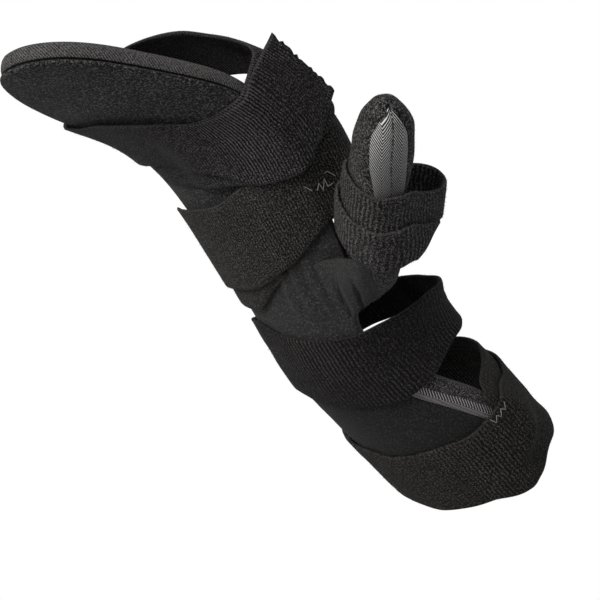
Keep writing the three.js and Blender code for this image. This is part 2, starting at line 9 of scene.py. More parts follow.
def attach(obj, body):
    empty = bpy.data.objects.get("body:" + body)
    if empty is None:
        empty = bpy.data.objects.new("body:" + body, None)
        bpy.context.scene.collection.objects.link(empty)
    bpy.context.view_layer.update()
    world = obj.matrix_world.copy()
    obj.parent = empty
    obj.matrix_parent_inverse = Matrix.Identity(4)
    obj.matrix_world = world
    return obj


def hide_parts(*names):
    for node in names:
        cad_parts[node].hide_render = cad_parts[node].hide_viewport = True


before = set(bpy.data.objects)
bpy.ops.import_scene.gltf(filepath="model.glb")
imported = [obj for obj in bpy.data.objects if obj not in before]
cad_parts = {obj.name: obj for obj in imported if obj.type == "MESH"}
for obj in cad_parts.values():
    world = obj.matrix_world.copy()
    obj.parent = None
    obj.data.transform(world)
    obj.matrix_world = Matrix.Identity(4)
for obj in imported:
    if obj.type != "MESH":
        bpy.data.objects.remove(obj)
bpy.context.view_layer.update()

# Sizes in millimetres and degrees. They are those of the part's source, but for the pad's thumb border,
# which is fuller at the forearm once dressed.

FOREARM_LENGTH = 106.0
HAND_LENGTH = 196.0
LINING_THICKNESS = 7.8
COVER_THICKNESS = 2.2
TROUGH_RADIUS = 38.0
PAD_HALF_WIDTH = 44.0
PAD_EDGE_ROUND = 1.6
TIP_ROUND_THUMB_SIDE = 66.0
TIP_ROUND_LITTLE_SIDE = 81.0
FOREARM_CORNER = 16.0
WRIST_BEND = 19.0
KNUCKLE_BEND = 42.5
FINGER_BEND = 12.0
LIMB_HALF_WIDTH = 42.0
LIMB_HEIGHT = 56.0
PALM_SHIFT = 7.0
STRAP_THICKNESS = 2.0
FINGER_STRAP_WIDTH = 42.0
PALM_STRAP_WIDTH = 41.0
WRIST_STRAP_WIDTH = 38.0
FOREARM_STRAP_WIDTH = 38.0
TAPE_WIDTH = 10.0
TAPE_LENGTH = 74.0
TAPE_END = 1.0
THUMB_ROOT_AT = 24.0
THUMB_ROOT_IN = 30.0
THUMB_OUT = 31.6
THUMB_RISE = 0.4
THUMB_FORWARD = 8.5
THUMB_POST_LENGTH = 76.0
THUMB_POST_WIDTH = 27.0
THUMB_POST_THICKNESS = 19.0
THUMB_SPREAD = 41.0
THUMB_TURN = 28.0
THUMB_TAPE_THICKNESS = 1.6
THUMB_HALF_WIDTH = 10.5
THUMB_STRAP_WIDTH = 18.0
THUMB_STRAP_AT = 26.0
THUMB_STRAP_PITCH = 15.0
THUMB_STRAP_TILT = 8.0
THUMB_STRAP_SLANT = 45.0
SEAM_GAP = 0.4
PLY_GAP = 0.3
STRAP_SEAT = 0.5
TAPE_SEAT = 0.5
STAY_SQUARE = 0.72
THUMB_STRAP_FROM = 235.0
THUMB_STRAP_TO = 772.0


def table(names, *rows):
    """Rows of values, each as a dictionary by column name."""
    return [dict(zip(names.split(), row)) for row in rows]


BENDS = table(
    "from to turn",
    (-0.41, 0.02, WRIST_BEND),
    (0.37, 0.68, -KNUCKLE_BEND),
    (0.69, 1.12, -FINGER_BEND),
)
SECTIONS = table(
    "along bend thumb little wide high shift",
    (-1.00, 1.00, 1.22, 1.30, 0.84, 1.00, 0.0),
    (-0.81, 0.97, 1.18, 1.27, 0.84, 1.02, 0.0),
    (-0.64, 0.97, 1.05, 1.25, 0.84, 1.03, 0.0),
    (-0.40, 0.97, 0.82, 1.23, 0.85, 1.03, -0.1),
    (-0.20, 1.01, 0.70, 1.20, 0.89, 1.02, -0.4),
    (-0.07, 1.05, 0.60, 1.18, 0.94, 1.00, -0.7),
    (0.02, 1.14, 0.66, 1.16, 0.96, 0.95, -0.7),
    (0.10, 1.26, 0.82, 1.14, 0.98, 0.88, -0.7),
    (0.27, 1.58, 0.91, 1.09, 1.04, 0.78, -0.7),
    (0.40, 2.10, 1.00, 1.07, 1.10, 0.76, -0.6),
    (0.58, 3.42, 1.03, 1.20, 1.00, 0.62, -0.1),
    (0.84, 5.79, 0.86, 1.06, 0.83, 0.40, -0.1),
    (1.00, 6.37, 0.82, 0.80, 0.77, 0.34, 0.0),
)
FINGER_PATH = table(
    "turn lead lift",
    (215, -0.08, 0), (250, -0.16, 0), (290, -0.26, 1.9), (310, -0.34, 1.9),
    (328, -0.42, 1.35), (360, -0.44, 1.35), (384, -0.42, 1.35), (412, -0.28, 1.35),
    (432, -0.12, 0), (540, 0.20, 0), (590, 0.26, 0), (614, 0.19, 0),
    (650, -0.02, 1.9), (668, -0.25, 1.9), (678, -0.40, 1.35), (700, -0.46, 1.35),
    (720, -0.40, 1.35),
)
PALM_PATH = table(
    "turn lead",
    (-155, -0.12), (-112, -0.16), (-94, -0.18), (-50, -0.06), (-24, 0.13),
    (-12, 0.20), (18, 0.18), (60, 0.02), (120, -0.10), (200, -0.35),
    (250, -0.45), (280, -0.28), (302, -0.14),
)
WRIST_PATH = table(
    "turn lead",
    (90, -0.10), (160, 0.12), (200, 0.35), (232, 0.42), (256, 0.28),
    (276, 0.15), (292, 0.07), (312, -0.03), (340, -0.09), (366, -0.08),
    (400, -0.13), (450, -0.08), (520, 0.15), (560, 0.35),
)
FOREARM_PATH = table(
    "turn lead",
    (-6, 0.04), (4, 0.16), (46, 0.16), (90, 0.18), (180, 0.35),
    (235, 0.30), (256, 0.24), (278, 0.07), (294, 0.02), (318, -0.08),
    (336, -0.14), (350, -0.13), (366, -0.06), (392, -0.18), (450, -0.10),
)
# How far the near edge of the forearm strap's outer lap runs out beyond its width
FLARE = table(
    "turn near",
    (318, 0.0), (346, 4.0), (362, 6.0), (380, 3.5), (400, 0.0),
)
STRAPS = [
    {"name": "finger_strap", "along": 0.561, "width": FINGER_STRAP_WIDTH, "path": FINGER_PATH,
     "free_end": True},
    {"name": "palm_strap", "along": 0.291, "width": PALM_STRAP_WIDTH, "path": PALM_PATH, "backwards": True},
    {"name": "wrist_strap", "along": -0.214, "width": WRIST_STRAP_WIDTH, "path": WRIST_PATH},
    {"name": "forearm_strap", "along": -0.857, "width": FOREARM_STRAP_WIDTH, "path": FOREARM_PATH,
     "flare": FLARE},
]
STAY_SECTIONS = table(
    "along width thick lean sway",
    (0.00, 1.10, 0.38, 0.00, 0.00),
    (0.10, 1.28, 0.46, 0.00, 0.00),
    (0.22, 1.26, 0.66, 0.00, 0.00),
    (0.35, 1.12, 0.88, 0.00, 0.00),
    (0.55, 1.00, 1.02, 0.00, 0.00),
    (0.75, 0.94, 1.00, 0.03, 0.00),
    (0.88, 0.80, 0.80, 0.16, 0.08),
    (0.95, 0.58, 0.58, 0.34, 0.14),
    (0.99, 0.32, 0.36, 0.50, 0.16),
    (1.00, 0.14, 0.20, 0.56, 0.18),
)

MM = 0.001
PAD_LENGTH = FOREARM_LENGTH + HAND_LENGTH
PAD_THICKNESS = LINING_THICKNESS + SEAM_GAP + COVER_THICKNESS
COVER_INNER = LINING_THICKNESS + SEAM_GAP
PLY_RISE = STRAP_THICKNESS + PLY_GAP
TIP_POWER = 2.3


# Curves

def smooth(x):
    t = np.clip(x, 0.0, 1.0)
    return t * t * (3.0 - 2.0 * t)


def unit(a):
    return a / np.linalg.norm(a)


def unit_rows(a):
    return a / np.linalg.norm(a, axis=1, keepdims=True)


def hermite(t, a, leave, b, arrive):
    """Curve from a to b as t goes from 0 to 1, with the ways in which it leaves and arrives."""
    t2, t3 = t * t, t * t * t
    return ((2 * t3 - 3 * t2 + 1) * a + (t3 - 2 * t2 + t) * leave
            + (3 * t2 - 2 * t3) * b + (t3 - t2) * arrive)


def column(rows, key, at, x):
    """Value of one column of a table, with no overshoot between its rows."""
    xs = np.array([row[at] for row in rows], float)
    ys = np.array([row[key] for row in rows], float)
    d = np.diff(ys) / np.diff(xs)
    m = np.empty(len(xs))
    m[0], m[-1] = d[0], d[-1]
    a, b = d[:-1], d[1:]
    both = a + b
    m[1:-1] = np.where(a * b > 0, 2 * a * b / np.where(both == 0, 1, both), 0)
    p = np.clip(x, xs[0], xs[-1])
    i = np.clip(np.searchsorted(xs, p, side="right") - 1, 0, len(xs) - 2)
    h = xs[i + 1] - xs[i]
    return hermite((p - xs[i]) / h, ys[i], h * m[i], ys[i + 1], h * m[i + 1])


def arc_length(points):
    steps = np.linalg.norm(np.diff(points, axis=0), axis=1)
    return np.concatenate([[0.0], np.cumsum(steps)])


def each_row(values, cols):
    """A grid in which every row holds its own value."""
    return np.repeat(np.asarray(values)[:, None], cols, 1)


def each_column(values, rows):
    """A grid in which every column holds its own value."""
    return np.repeat(np.asarray(values)[None, :], rows, 0)


def ripple(u, v, seed, low=9.0, high=34.0, count=7):
    """Soft waves between about -1 and 1, low to high millimetres long and the same on each run."""
    rng = np.random.default_rng(seed)
    total = 0.0
    for _ in range(count):
        a = rng.uniform(0, math.pi)
        k = 2 * math.pi / rng.uniform(low, high)
        total = total + np.sin(k * (u * math.cos(a) + v * math.sin(a)) + rng.uniform(0, 6.28))
    return total / (count * 0.6)


# The pad's middle line and its sections

def to_along(s):
    beyond = np.asarray(s, float) - FOREARM_LENGTH
    return beyond / np.where(beyond < 0, FOREARM_LENGTH, HAND_LENGTH)


def to_station(along):
    return FOREARM_LENGTH + along * (FOREARM_LENGTH if along < 0 else HAND_LENGTH)


def section(key, s):
    return column(SECTIONS, key, "along", to_along(s))


def slope_at(s):
    along = to_along(s)
    total = sum(b["turn"] * smooth((along - b["from"]) / (b["to"] - b["from"])) for b in BENDS)
    return np.radians(total)


LINE_STEP = 0.5
LINE_BEYOND = 60.0
LINE_S = np.arange(-LINE_BEYOND, PAD_LENGTH + LINE_BEYOND, LINE_STEP)
LINE_SLOPES = slope_at(LINE_S[:-1] + LINE_STEP / 2)
LINE_Y = np.concatenate([[0.0], np.cumsum(LINE_STEP * np.cos(LINE_SLOPES))])
LINE_Z = np.concatenate([[0.0], np.cumsum(LINE_STEP * np.sin(LINE_SLOPES))])
LINE_Y -= np.interp(FOREARM_LENGTH, LINE_S, LINE_Y)
LINE_Z -= np.interp(FOREARM_LENGTH, LINE_S, LINE_Z)


def place(s, x, z):
    """Point of a section: x across, z above the lining's middle line, in millimetres."""
    s, x, z = np.broadcast_arrays(np.asarray(s, float), x, z)
    slope = slope_at(s)
    y = np.interp(s, LINE_S, LINE_Y) - np.sin(slope) * z
    return np.stack([x, y, np.interp(s, LINE_S, LINE_Z) + np.cos(slope) * z], -1)


def border(s, side):
    """How far the pad reaches from its middle line, on the thumb's side for 1 or the other for -1."""
    s = np.asarray(s, float)
    rounding = TIP_ROUND_THUMB_SIDE if side > 0 else TIP_ROUND_LITTLE_SIDE
    k = np.clip((s - PAD_LENGTH + rounding) / rounding, 0, 1)
    tip = (1 - k ** TIP_POWER) ** (1 / TIP_POWER)
    j = np.clip((FOREARM_CORNER - s) / FOREARM_CORNER, 0, 1)
    corner = FOREARM_CORNER * (1 - np.sqrt(1 - j * j))
    return section("thumb" if side > 0 else "little", s) * PAD_HALF_WIDTH * tip - corner


def trough(s, w, depth):
    radius = section("bend", s) * TROUGH_RADIUS
    return -(radius + depth) * np.sin(w / radius), radius - (radius + depth) * np.cos(w / radius)


def pad_point(s, w, depth):
    s, w, depth = np.broadcast_arrays(np.asarray(s, float), w, depth)
    x, z = trough(s, w, depth)
    return place(s, x, z)


# Taut wraps: how far out a stretched cloth lies, by place along and by turn

WRAP_STEP = 2.0
WRAP_S = np.arange(-30.0, PAD_LENGTH + 31.0, 1.0)
WRAP_TURNS = np.arange(0.0, 360.0, WRAP_STEP)
WRAP_BLUR = 2.2
BLUR_REACH = 6
LEAST_COSINE = 0.05
LIMB_CENTRE = 0.42
LEAST_HALF_WIDTH = 4.0


def radius_of(supports, limb, directions):
    """Radius of a taut cloth round supports, rows of x, z and margin, and round an ellipse."""
    c, d = -np.cos(directions), np.sin(directions)
    reach = (supports[:, 0, None] * c + supports[:, 1, None] * d + supports[:, 2, None]).max(0)
    if limb:
        x, z, wide, high = limb
        reach = np.maximum(reach, x * c + z * d + np.hypot(wide * c, high * d))
    cosine = np.cos(directions[:, None] - directions[None, :])
    ahead = cosine > LEAST_COSINE
    return np.where(ahead, reach[None, :] / np.where(ahead, cosine, 1), np.inf).min(1)


def blurred(table, spread):
    """The table with its columns softened from row to row."""
    kernel = np.exp(-0.5 * (np.arange(-BLUR_REACH, BLUR_REACH + 1) / spread) ** 2)
    kernel /= kernel.sum()
    padded = np.vstack([table[:1]] * BLUR_REACH + [table] + [table[-1:]] * BLUR_REACH)
    return np.array([np.convolve(padded[:, i], kernel, "valid") for i in range(table.shape[1])]).T


def looked_up(table, first, step, at, turn):
    """Value of a table with a row for each millimetre from first and a column for each step of turn."""
    a = np.clip(at - first, 0, len(table) - 1.001)
    i = a.astype(int)
    f = a - i
    b = np.mod(turn, 360.0) / step
    j = b.astype(int)
    g = b - j
    count = table.shape[1]
    j, k = j % count, (j + 1) % count
    return ((table[i, j] * (1 - g) + table[i, k] * g) * (1 - f)
            + (table[i + 1, j] * (1 - g) + table[i + 1, k] * g) * f)


def wrap_centre(s):
    return section("high", s) * LIMB_HEIGHT * LIMB_CENTRE


def pad_supports(s, centre):
    """Points of the pad's outer side that a strap can lie on, as seen from the wrap's centre."""
    points = []
    for side in (1, -1):
        edge = max(float(border(min(max(s, 0.0), PAD_LENGTH - 1.0), side)), LEAST_HALF_WIDTH)
        spots = [(w, PAD_THICKNESS) for w in np.linspace(0, edge - PAD_EDGE_ROUND, 13)]
        spots += [(edge, PAD_THICKNESS - PAD_EDGE_ROUND), (edge, PAD_EDGE_ROUND)]
        spots += [(edge - PAD_EDGE_ROUND, 0.0)]
        for w, depth in spots:
            x, z = trough(s, w * side, depth)
            points.append((float(x), float(z) - centre, 0.0))
    return np.array(points)


def make_wrap():
    rows = []
    for s in WRAP_S:
        centre = float(wrap_centre(s))
        high = float(section("high", s)) * LIMB_HEIGHT / 2
        limb = (float(section("shift", s)) * PALM_SHIFT, high - centre,
                float(section("wide", s)) * LIMB_HALF_WIDTH, high)
        rows.append(radius_of(pad_supports(s, centre), limb, np.radians(WRAP_TURNS)))
    return blurred(np.array(rows), WRAP_BLUR)


WRAP = make_wrap()


def wrap_radius(s, turn):
    return looked_up(WRAP, WRAP_S[0], WRAP_STEP, s, turn)


def wrap_point(s, turn, offset):
    s, turn, offset = np.broadcast_arrays(np.asarray(s, float), turn, offset)
    r = wrap_radius(s, turn) + offset
    t = np.radians(turn)
    return place(s, -r * np.cos(t), wrap_centre(s) + r * np.sin(t))


# Meshes

def add_object(name, data):
    obj = bpy.data.objects.new(name, data)
    bpy.context.scene.collection.objects.link(obj)
    return obj


def plain_object(name, points, faces, material):
    """Object without unwrapped places, from points in metres."""
    mesh = bpy.data.meshes.new(name)
    mesh.from_pydata(np.asarray(points).tolist(), [], faces)
    mesh.materials.append(material)
    return add_object(name, mesh)


def facing_out(points, faces):
    tris = [(f[0], f[n], f[n + 1]) for f in faces for n in range(1, len(f) - 1)]
    t = np.array(tris)
    volume = np.einsum("ij,ij->i", points[t[:, 0]], np.cross(points[t[:, 1]], points[t[:, 2]])).sum()
    return volume > 0


def cloth_object(name, points, faces, uvs, materials, slots=None):
    """Smooth closed object; uvs has a list of pairs for each face, in millimetres."""
    if not facing_out(points, faces):
        faces = [f[::-1] for f in faces]
        uvs = [u[::-1] for u in uvs]
    mesh = bpy.data.meshes.new(name)
    mesh.from_pydata((points * MM).tolist(), [], faces)
    layer = mesh.uv_layers.new(name="UVMap")
    flat = np.array([c for face in uvs for pair in face for c in pair], dtype=np.float32)
    layer.data.foreach_set("uv", flat)
    for material in materials:
        mesh.materials.append(material)
    if slots:
        mesh.polygons.foreach_set("material_index", np.array(slots, dtype=np.int32))
    mesh.polygons.foreach_set("use_smooth", np.ones(len(faces), dtype=bool))
    mesh.update()
    return add_object(name, mesh)


def slab_object(name, outer, inner, u, v, materials, slots=None):
    """Closed cloth between two grids of points, u along it and v across it; slots goes by column."""
    rows, cols = outer.shape[:2]
    uv = np.stack([u, v], -1).reshape(-1, 2)
    faces, marks = [], []

    def quad(col, *corners):
        faces.append([side * rows * cols + i * cols + j for side, i, j in corners])
        marks.append(col)

    far, last = rows - 1, cols - 1
    for i in range(far):
        for j in range(last):
            quad(j, (0, i, j), (0, i, j + 1), (0, i + 1, j + 1), (0, i + 1, j))
            quad(j, (1, i, j), (1, i + 1, j), (1, i + 1, j + 1), (1, i, j + 1))
        quad(0, (0, i, 0), (0, i + 1, 0), (1, i + 1, 0), (1, i, 0))
        quad(last - 1, (0, i, last), (1, i, last), (1, i + 1, last), (0, i + 1, last))
    for j in range(last):
        quad(j, (0, 0, j), (1, 0, j), (1, 0, j + 1), (0, 0, j + 1))
        quad(j, (0, far, j), (0, far, j + 1), (1, far, j + 1), (1, far, j))
    uvs = [[tuple(uv[n % (rows * cols)]) for n in face] for face in faces]
    points = np.vstack([outer.reshape(-1, 3), inner.reshape(-1, 3)])
    chosen = [slots[col] for col in marks] if slots else None
    return cloth_object(name, points, faces, uvs, materials, chosen)


def edge_round(v, half, reach=1.1):
    """Share of the thickness left near the two long edges of a band."""
    x = np.clip((np.abs(v) - (half - reach)) / reach, 0, 1)
    return 0.22 + 0.78 * np.sqrt(np.clip(1 - x * x, 0, 1))


# Fabrics: noise scales are in patches a metre, lengths by u and v in millimetres

SPECKLE = 1500.0
PALE = (1.0, 1.0, 1.0)


class Nodes:
    def __init__(self, name):
        self.material = bpy.data.materials.new(name)
        self.material.use_nodes = True
        self.tree = self.material.node_tree
        self.bsdf = self.tree.nodes["Principled BSDF"]

    def link(self, value, socket):
        if isinstance(value, (int, float, tuple)):
            socket.default_value = value
        else:
            self.tree.links.new(value, socket)

    def math(self, operation, a, b=0.0, c=None):
        node = self.tree.nodes.new("ShaderNodeMath")
        node.operation = operation
        for value, socket in zip((a, b, c), node.inputs):
            if value is not None:
                self.link(value, socket)
        return node.outputs[0]

    def times(self, a, b):
        return self.math("MULTIPLY", a, b)

    def plus(self, a, b):
        return self.math("ADD", a, b)

    def minus(self, a, b):
        return self.math("SUBTRACT", a, b)

    def times_plus(self, a, b, c):
        return self.math("MULTIPLY_ADD", a, b, c)

    def size(self, a):
        return self.math("ABSOLUTE", a)

    def under(self, a, b):
        return self.math("LESS_THAN", a, b)

    def over(self, a, b):
        return self.math("GREATER_THAN", a, b)

    def wave(self, length, pitch):
        return self.math("SINE", self.times(length, 2 * math.pi / pitch))

    def ribs(self, length, pitch):
        """Ribs between 0 and 1, one for each pitch of length."""
        return self.times_plus(self.wave(length, pitch), 0.5, 0.5)

    def split(self, vector):
        node = self.tree.nodes.new("ShaderNodeSeparateXYZ")
        self.link(vector, node.inputs[0])
        return node.outputs[0], node.outputs[1]

    def uv(self):
        node = self.tree.nodes.new("ShaderNodeUVMap")
        node.uv_map = "UVMap"
        return self.split(node.outputs[0])

    def vector(self, x, y):
        node = self.tree.nodes.new("ShaderNodeCombineXYZ")
        self.link(x, node.inputs[0])
        self.link(y, node.inputs[1])
        return node.outputs[0]

    def place(self):
        return self.tree.nodes.new("ShaderNodeTexCoord").outputs["Object"]

    def noise(self, vector, scale, detail=2.0, roughness=0.5):
        node = self.tree.nodes.new("ShaderNodeTexNoise")
        self.link(vector, node.inputs["Vector"])
        node.inputs["Scale"].default_value = scale
        node.inputs["Detail"].default_value = detail
        node.inputs["Roughness"].default_value = roughness
        return node.outputs["Fac"]

    def ramp(self, factor, *stops):
        """Colours by factor; each stop is a place and a colour."""
        node = self.tree.nodes.new("ShaderNodeValToRGB")
        self.link(factor, node.inputs[0])
        elements = node.color_ramp.elements
        while len(elements) < len(stops):
            elements.new(0.5)
        for element, (position, colour) in zip(elements, stops):
            element.position = position
            element.color = (*colour, 1.0)
        return node.outputs[0]

    def shades(self, factor, colour, *stops):
        """Shades of one colour by factor; each stop is a place and a share of the colour."""
        return self.ramp(factor, *((position, tone(colour, share)) for position, share in stops))

    def mix(self, kind, factor, a, b):
        node = self.tree.nodes.new("ShaderNodeMixRGB")
        node.blend_type = kind
        for value, socket in zip((factor, a, b), node.inputs):
            self.link(value, socket)
        return node.outputs[0]

    def shaded(self, a, b):
        return self.mix("MULTIPLY", 1.0, a, b)

    def painted(self, factor, base, colour, share):
        """The base with a share of a colour laid over it where factor is high."""
        return self.mix("MIX", factor, base, (*tone(colour, share), 1.0))

    def finish(self, colour, height, depth, roughness=0.95, sheen=0.02, specular=0.03):
        self.link(colour, self.bsdf.inputs["Base Color"])
        bump = self.tree.nodes.new("ShaderNodeBump")
        bump.inputs["Strength"].default_value = 1.0
        bump.inputs["Distance"].default_value = depth
        self.link(height, bump.inputs["Height"])
        self.tree.links.new(bump.outputs[0], self.bsdf.inputs["Normal"])
        self.bsdf.inputs["Roughness"].default_value = roughness
        self.bsdf.inputs["Specular IOR Level"].default_value = specular
        self.bsdf.inputs["Sheen Weight"].default_value = sheen
        self.bsdf.inputs["Sheen Roughness"].default_value = 0.55
        return self.material


def linear(*levels):
    """Colour from screen levels between 0 and 255."""
    return tuple(((x / 255 + 0.055) / 1.055) ** 2.4 if x > 10 else x / 255 / 12.92 for x in levels)


def tone(colour, factor):
    return tuple(c * factor for c in colour)


def fleece_material(name, colour, grain=0.75, depth=0.0012, painted_shade=False):
    """Brushed fleece: pale specks on a dark ground, with broad soft patches."""
    n = Nodes(name)
    where = n.place()
    fine = n.noise(where, 1000.0 / grain, 3.0, 0.75)
    broad = n.noise(where, 42.0, 3.0, 0.55)
    specks = n.shades(fine, colour, (0.40, 0.05), (0.48, 0.40), (0.54, 1.3), (0.62, 5.2))
    out = n.shaded(specks, n.shades(broad, PALE, (0.3, 0.72), (0.7, 1.0)))
    # Optional: speckle evened out over most of the pad, less so towards the fingers, and painted shade that
    # darkens the fleece towards the forearm (negative y).
    if painted_shade:
        along = n.times_plus(n.split(where)[1], 5.0, 0.5)
        flat = n.shades(along, PALE, (0.70, 0.68), (1.00, 0.10))
        # Painted shade: darker towards the forearm.
        dark = n.shades(along, PALE, (0.3, 0.60), (0.5, 1.0))
        out = n.shaded(n.painted(flat, out, colour, 1.0), dark)
    height = n.plus(fine, n.times(broad, 0.4))
    return n.finish(out, height, depth * grain)


SELVAGE_WIDTH = 0.7
SEAM_INSETS = (2.6, 4.6)
SEAM_HALF_WIDTH = 0.32
SEAM_STITCH = 2.0


def knit_material(name, colour, half, pitch=1.5, ribs=0.55, double_seam=False):
    """Ribbed brushed knit: ribs across the strap, broken into loops, with pale flecks."""
    n = Nodes(name)
    u, v = n.uv()
    where = n.place()
    wander = n.noise(n.vector(n.times(u, 0.05), n.times(v, 0.12)), 1.0, 2.0)
    rib = n.ribs(n.plus(u, n.times(wander, 2.2)), pitch)
    loops = n.noise(n.vector(n.times(u, 2.0 / pitch), n.times(v, 1.15)), 1.0, 2.0, 0.6)
    fine = n.noise(where, SPECKLE, 2.5, 0.85)
    broad = n.noise(where, 36.0, 3.0)
    fade = n.shades(n.noise(where, 24.0, 1.0), PALE, (0.40, 0.25), (0.62, 1.0))
    specks = n.times_plus(n.minus(fine, 0.5), 1.5, n.times_plus(n.minus(loops, 0.5), 0.7, 0.5))
    mixed = n.times_plus(n.minus(rib, 0.5), n.times(fade, ribs), specks)
    flecks = n.shades(mixed, colour, (0.30, 0.04), (0.45, 0.32), (0.56, 1.4), (0.72, 7.0))
    out = n.shaded(flecks, n.ramp(broad, (0.3, (0.70, 0.68, 0.68)), (0.7, PALE)))
    selvage = n.times(n.under(n.minus(half, n.size(v)), SELVAGE_WIDTH), n.over(loops, 0.42))
    out = n.painted(n.times(selvage, 0.5), out, colour, 3.4)
    if double_seam:
        for inset in SEAM_INSETS:
            near = n.under(n.size(n.minus(n.plus(v, half), inset)), SEAM_HALF_WIDTH)
            stitch = n.over(n.wave(u, SEAM_STITCH), -0.1)
            out = n.painted(n.times(n.times(near, stitch), 0.75), out, colour, 3.2)
    return n.finish(out, mixed, 0.0009)


LOOP_RIB_PITCH = 1.35
LOOP_SEAM_AT = 8.7


def loop_material(name, colour):
    """Lining cloth: fine slanted ribs of small loops, with painted shade for the gap at the seam below
    them.
    """
    n = Nodes(name)
    u, v = n.uv()
    where = n.place()
    wander = n.noise(where, 120.0, 2.0)
    rib = n.ribs(n.plus(n.times_plus(v, 0.9, u), n.times(wander, 0.9)), LOOP_RIB_PITCH)
    fine = n.noise(where, SPECKLE, 2.0, 0.7)
    mixed = n.times_plus(rib, 0.34, n.times_plus(n.minus(fine, 0.5), 1.5, 0.38))
    flecks = n.shades(mixed, colour, (0.25, 0.2), (0.5, 0.75), (0.68, 1.6), (0.85, 2.6))
    # Painted shade: near-black below LOOP_SEAM_AT, for the shaded gap at the seam between lining and cover.
    out = n.painted(n.over(v, LOOP_SEAM_AT), flecks, colour, 0.05)
    return n.finish(out, mixed, 0.0007)


TAPE_SEAM_HALF_WIDTH = 0.42
TAPE_STITCH = 1.9
TAPE_SHADE_OVER = 60.0


def twill_material(name, colour, pitch=1.5, centre=4.0, steep=1.75, seam=True):
    """Twill tape: slanted strokes that turn at each vertex, with a stitched seam along its middle and
    painted shade that darkens it towards its root.
    """
    n = Nodes(name)
    u, v = n.uv()
    where = n.place()
    fold = n.size(n.minus(n.size(v), centre))
    jitter = n.times(n.noise(where, 300.0, 1.0), 0.5)
    stroke = n.ribs(n.plus(n.times_plus(fold, steep, u), jitter), pitch)
    thread = n.noise(where, 1700.0, 1.0, 0.6)
    mixed = n.times_plus(thread, 0.35, n.times(stroke, 0.75))
    out = n.shades(mixed, colour, (0.34, 0.03), (0.50, 0.30), (0.74, 1.9), (0.90, 4.6))
    if seam:
        dark = n.times(n.under(n.size(v), TAPE_SEAM_HALF_WIDTH), n.over(n.wave(u, TAPE_STITCH), -0.2))
        out = n.painted(n.times(dark, 0.85), out, colour, 0.05)
        # Painted shade: the tape darkens from its tip towards its root.
        painted_shade = n.shades(n.times(u, -1 / TAPE_SHADE_OVER), PALE, (0.30, 0.12), (0.95, 1.05))
        out = n.shaded(out, painted_shade)
    return n.finish(out, mixed, 0.0006, roughness=0.7, sheen=0.03, specular=0.15)


def plain_material(name, colour, scale, low, high, roughness, sheen=0.0):
    """Slightly uneven paint or yarn, without relief."""
    n = Nodes(name)
    vary = n.noise(n.place(), scale, 2.0)
    n.link(n.shades(vary, colour, (0.3, low), (0.7, high)), n.bsdf.inputs["Base Color"])
    n.bsdf.inputs["Roughness"].default_value = roughness
    n.bsdf.inputs["Sheen Weight"].default_value = sheen
    return n.material


# How dark the cloth is under these lamps against its level on the screen
CLOTH_SHADE = 0.62


def cloth(*levels):
    return tone(linear(*levels), CLOTH_SHADE)


# The pad's cover fleece, with painted shade towards the forearm.
FLEECE = fleece_material("fleece", cloth(38, 38, 38), grain=0.95, depth=0.0006, painted_shade=True)
FLEECE_RIM = fleece_material("fleece_rim", cloth(38, 38, 38), grain=0.95, depth=0.0002, painted_shade=True)
FLEECE_STAY = fleece_material("fleece_stay", cloth(41, 40, 40), grain=0.9, depth=0.0007)
LINING = fleece_material("lining_face", cloth(52, 50, 50), grain=0.7, depth=0.0008)
LOOP = loop_material("ribbed_loop", cloth(61, 60, 60))
KNITS = {
    "finger_strap": {"colour": cloth(28, 27, 28), "ribs": 0.46},
    "palm_strap": {"colour": cloth(30, 29, 28), "ribs": 0.20},
    "wrist_strap": {"colour": cloth(17, 16, 16), "pitch": 2.0, "ribs": 0.42},
    "forearm_strap": {"colour": cloth(26, 25, 24), "pitch": 1.8, "ribs": 0.34, "double_seam": True},
    "thumb_strap": {"colour": cloth(35, 34, 34), "ribs": 0.22},
}
TAPE = twill_material("tape", cloth(88, 88, 88))
FOREARM_TWILL = twill_material("forearm_twill", cloth(72, 69, 70), centre=2.4, steep=1.6, seam=False)
BINDING = fleece_material("binding", cloth(52, 50, 52), grain=0.6)
FIBRE = plain_material("fibre", cloth(74, 72, 72), 260.0, 0.7, 1.25, roughness=0.8, sheen=0.1)
THREAD = plain_material("thread", cloth(112, 110, 110), 260.0, 0.7, 1.25, roughness=0.8, sheen=0.1)


# Pad and cover: a grid between the two borders, and rings down the wall round it

PLAN_COLS = 44
PLAN_STEP = 2.2
TIP_SHARE = 0.6
TIP_GAP = 0.05
FACE, WALL, BACK = 0, 1, 2


def pad_stations():
    tip = max(TIP_ROUND_THUMB_SIDE, TIP_ROUND_LITTLE_SIDE) * TIP_SHARE
    start = FOREARM_CORNER * np.linspace(0, 1, 12) ** 2
    middle = np.arange(FOREARM_CORNER + PLAN_STEP, PAD_LENGTH - tip - 1, PLAN_STEP)
    end = PAD_LENGTH - tip * np.linspace(1, 0, 34) ** 2
    end[-1] = PAD_LENGTH - TIP_GAP
    return np.concatenate([start, middle, end])


def plan(thumb_inset=None):
    """Grid of stations and places across, with the way out of it at its rim."""
    s = pad_stations()
    thumb = border(s, 1) - (thumb_inset(s) if thumb_inset else 0)
    little = -border(s, -1)
    share = np.linspace(0, 1, PLAN_COLS + 1)
    w = little[:, None] * (1 - share) + thumb[:, None] * share
    grid = np.stack([each_row(s, PLAN_COLS + 1), w], -1)
    normal = np.zeros_like(grid)
    for col, sign in ((PLAN_COLS, 1), (0, -1)):
        ds, dw = np.gradient(s), np.gradient(grid[:, col, 1])
        size = np.hypot(ds, dw)
        normal[:, col] = np.stack([-sign * dw / size, sign * ds / size], -1)
    normal[0, 1:-1] = (-1, 0)
    normal[-1, 1:-1] = (1, 0)
    normal[0, 0] = (-0.7, -0.7)
    normal[0, -1] = (-0.7, 0.7)
    normal[-1, 0] = (0.95, -0.3)
    normal[-1, -1] = (0.95, 0.3)
    return grid, normal


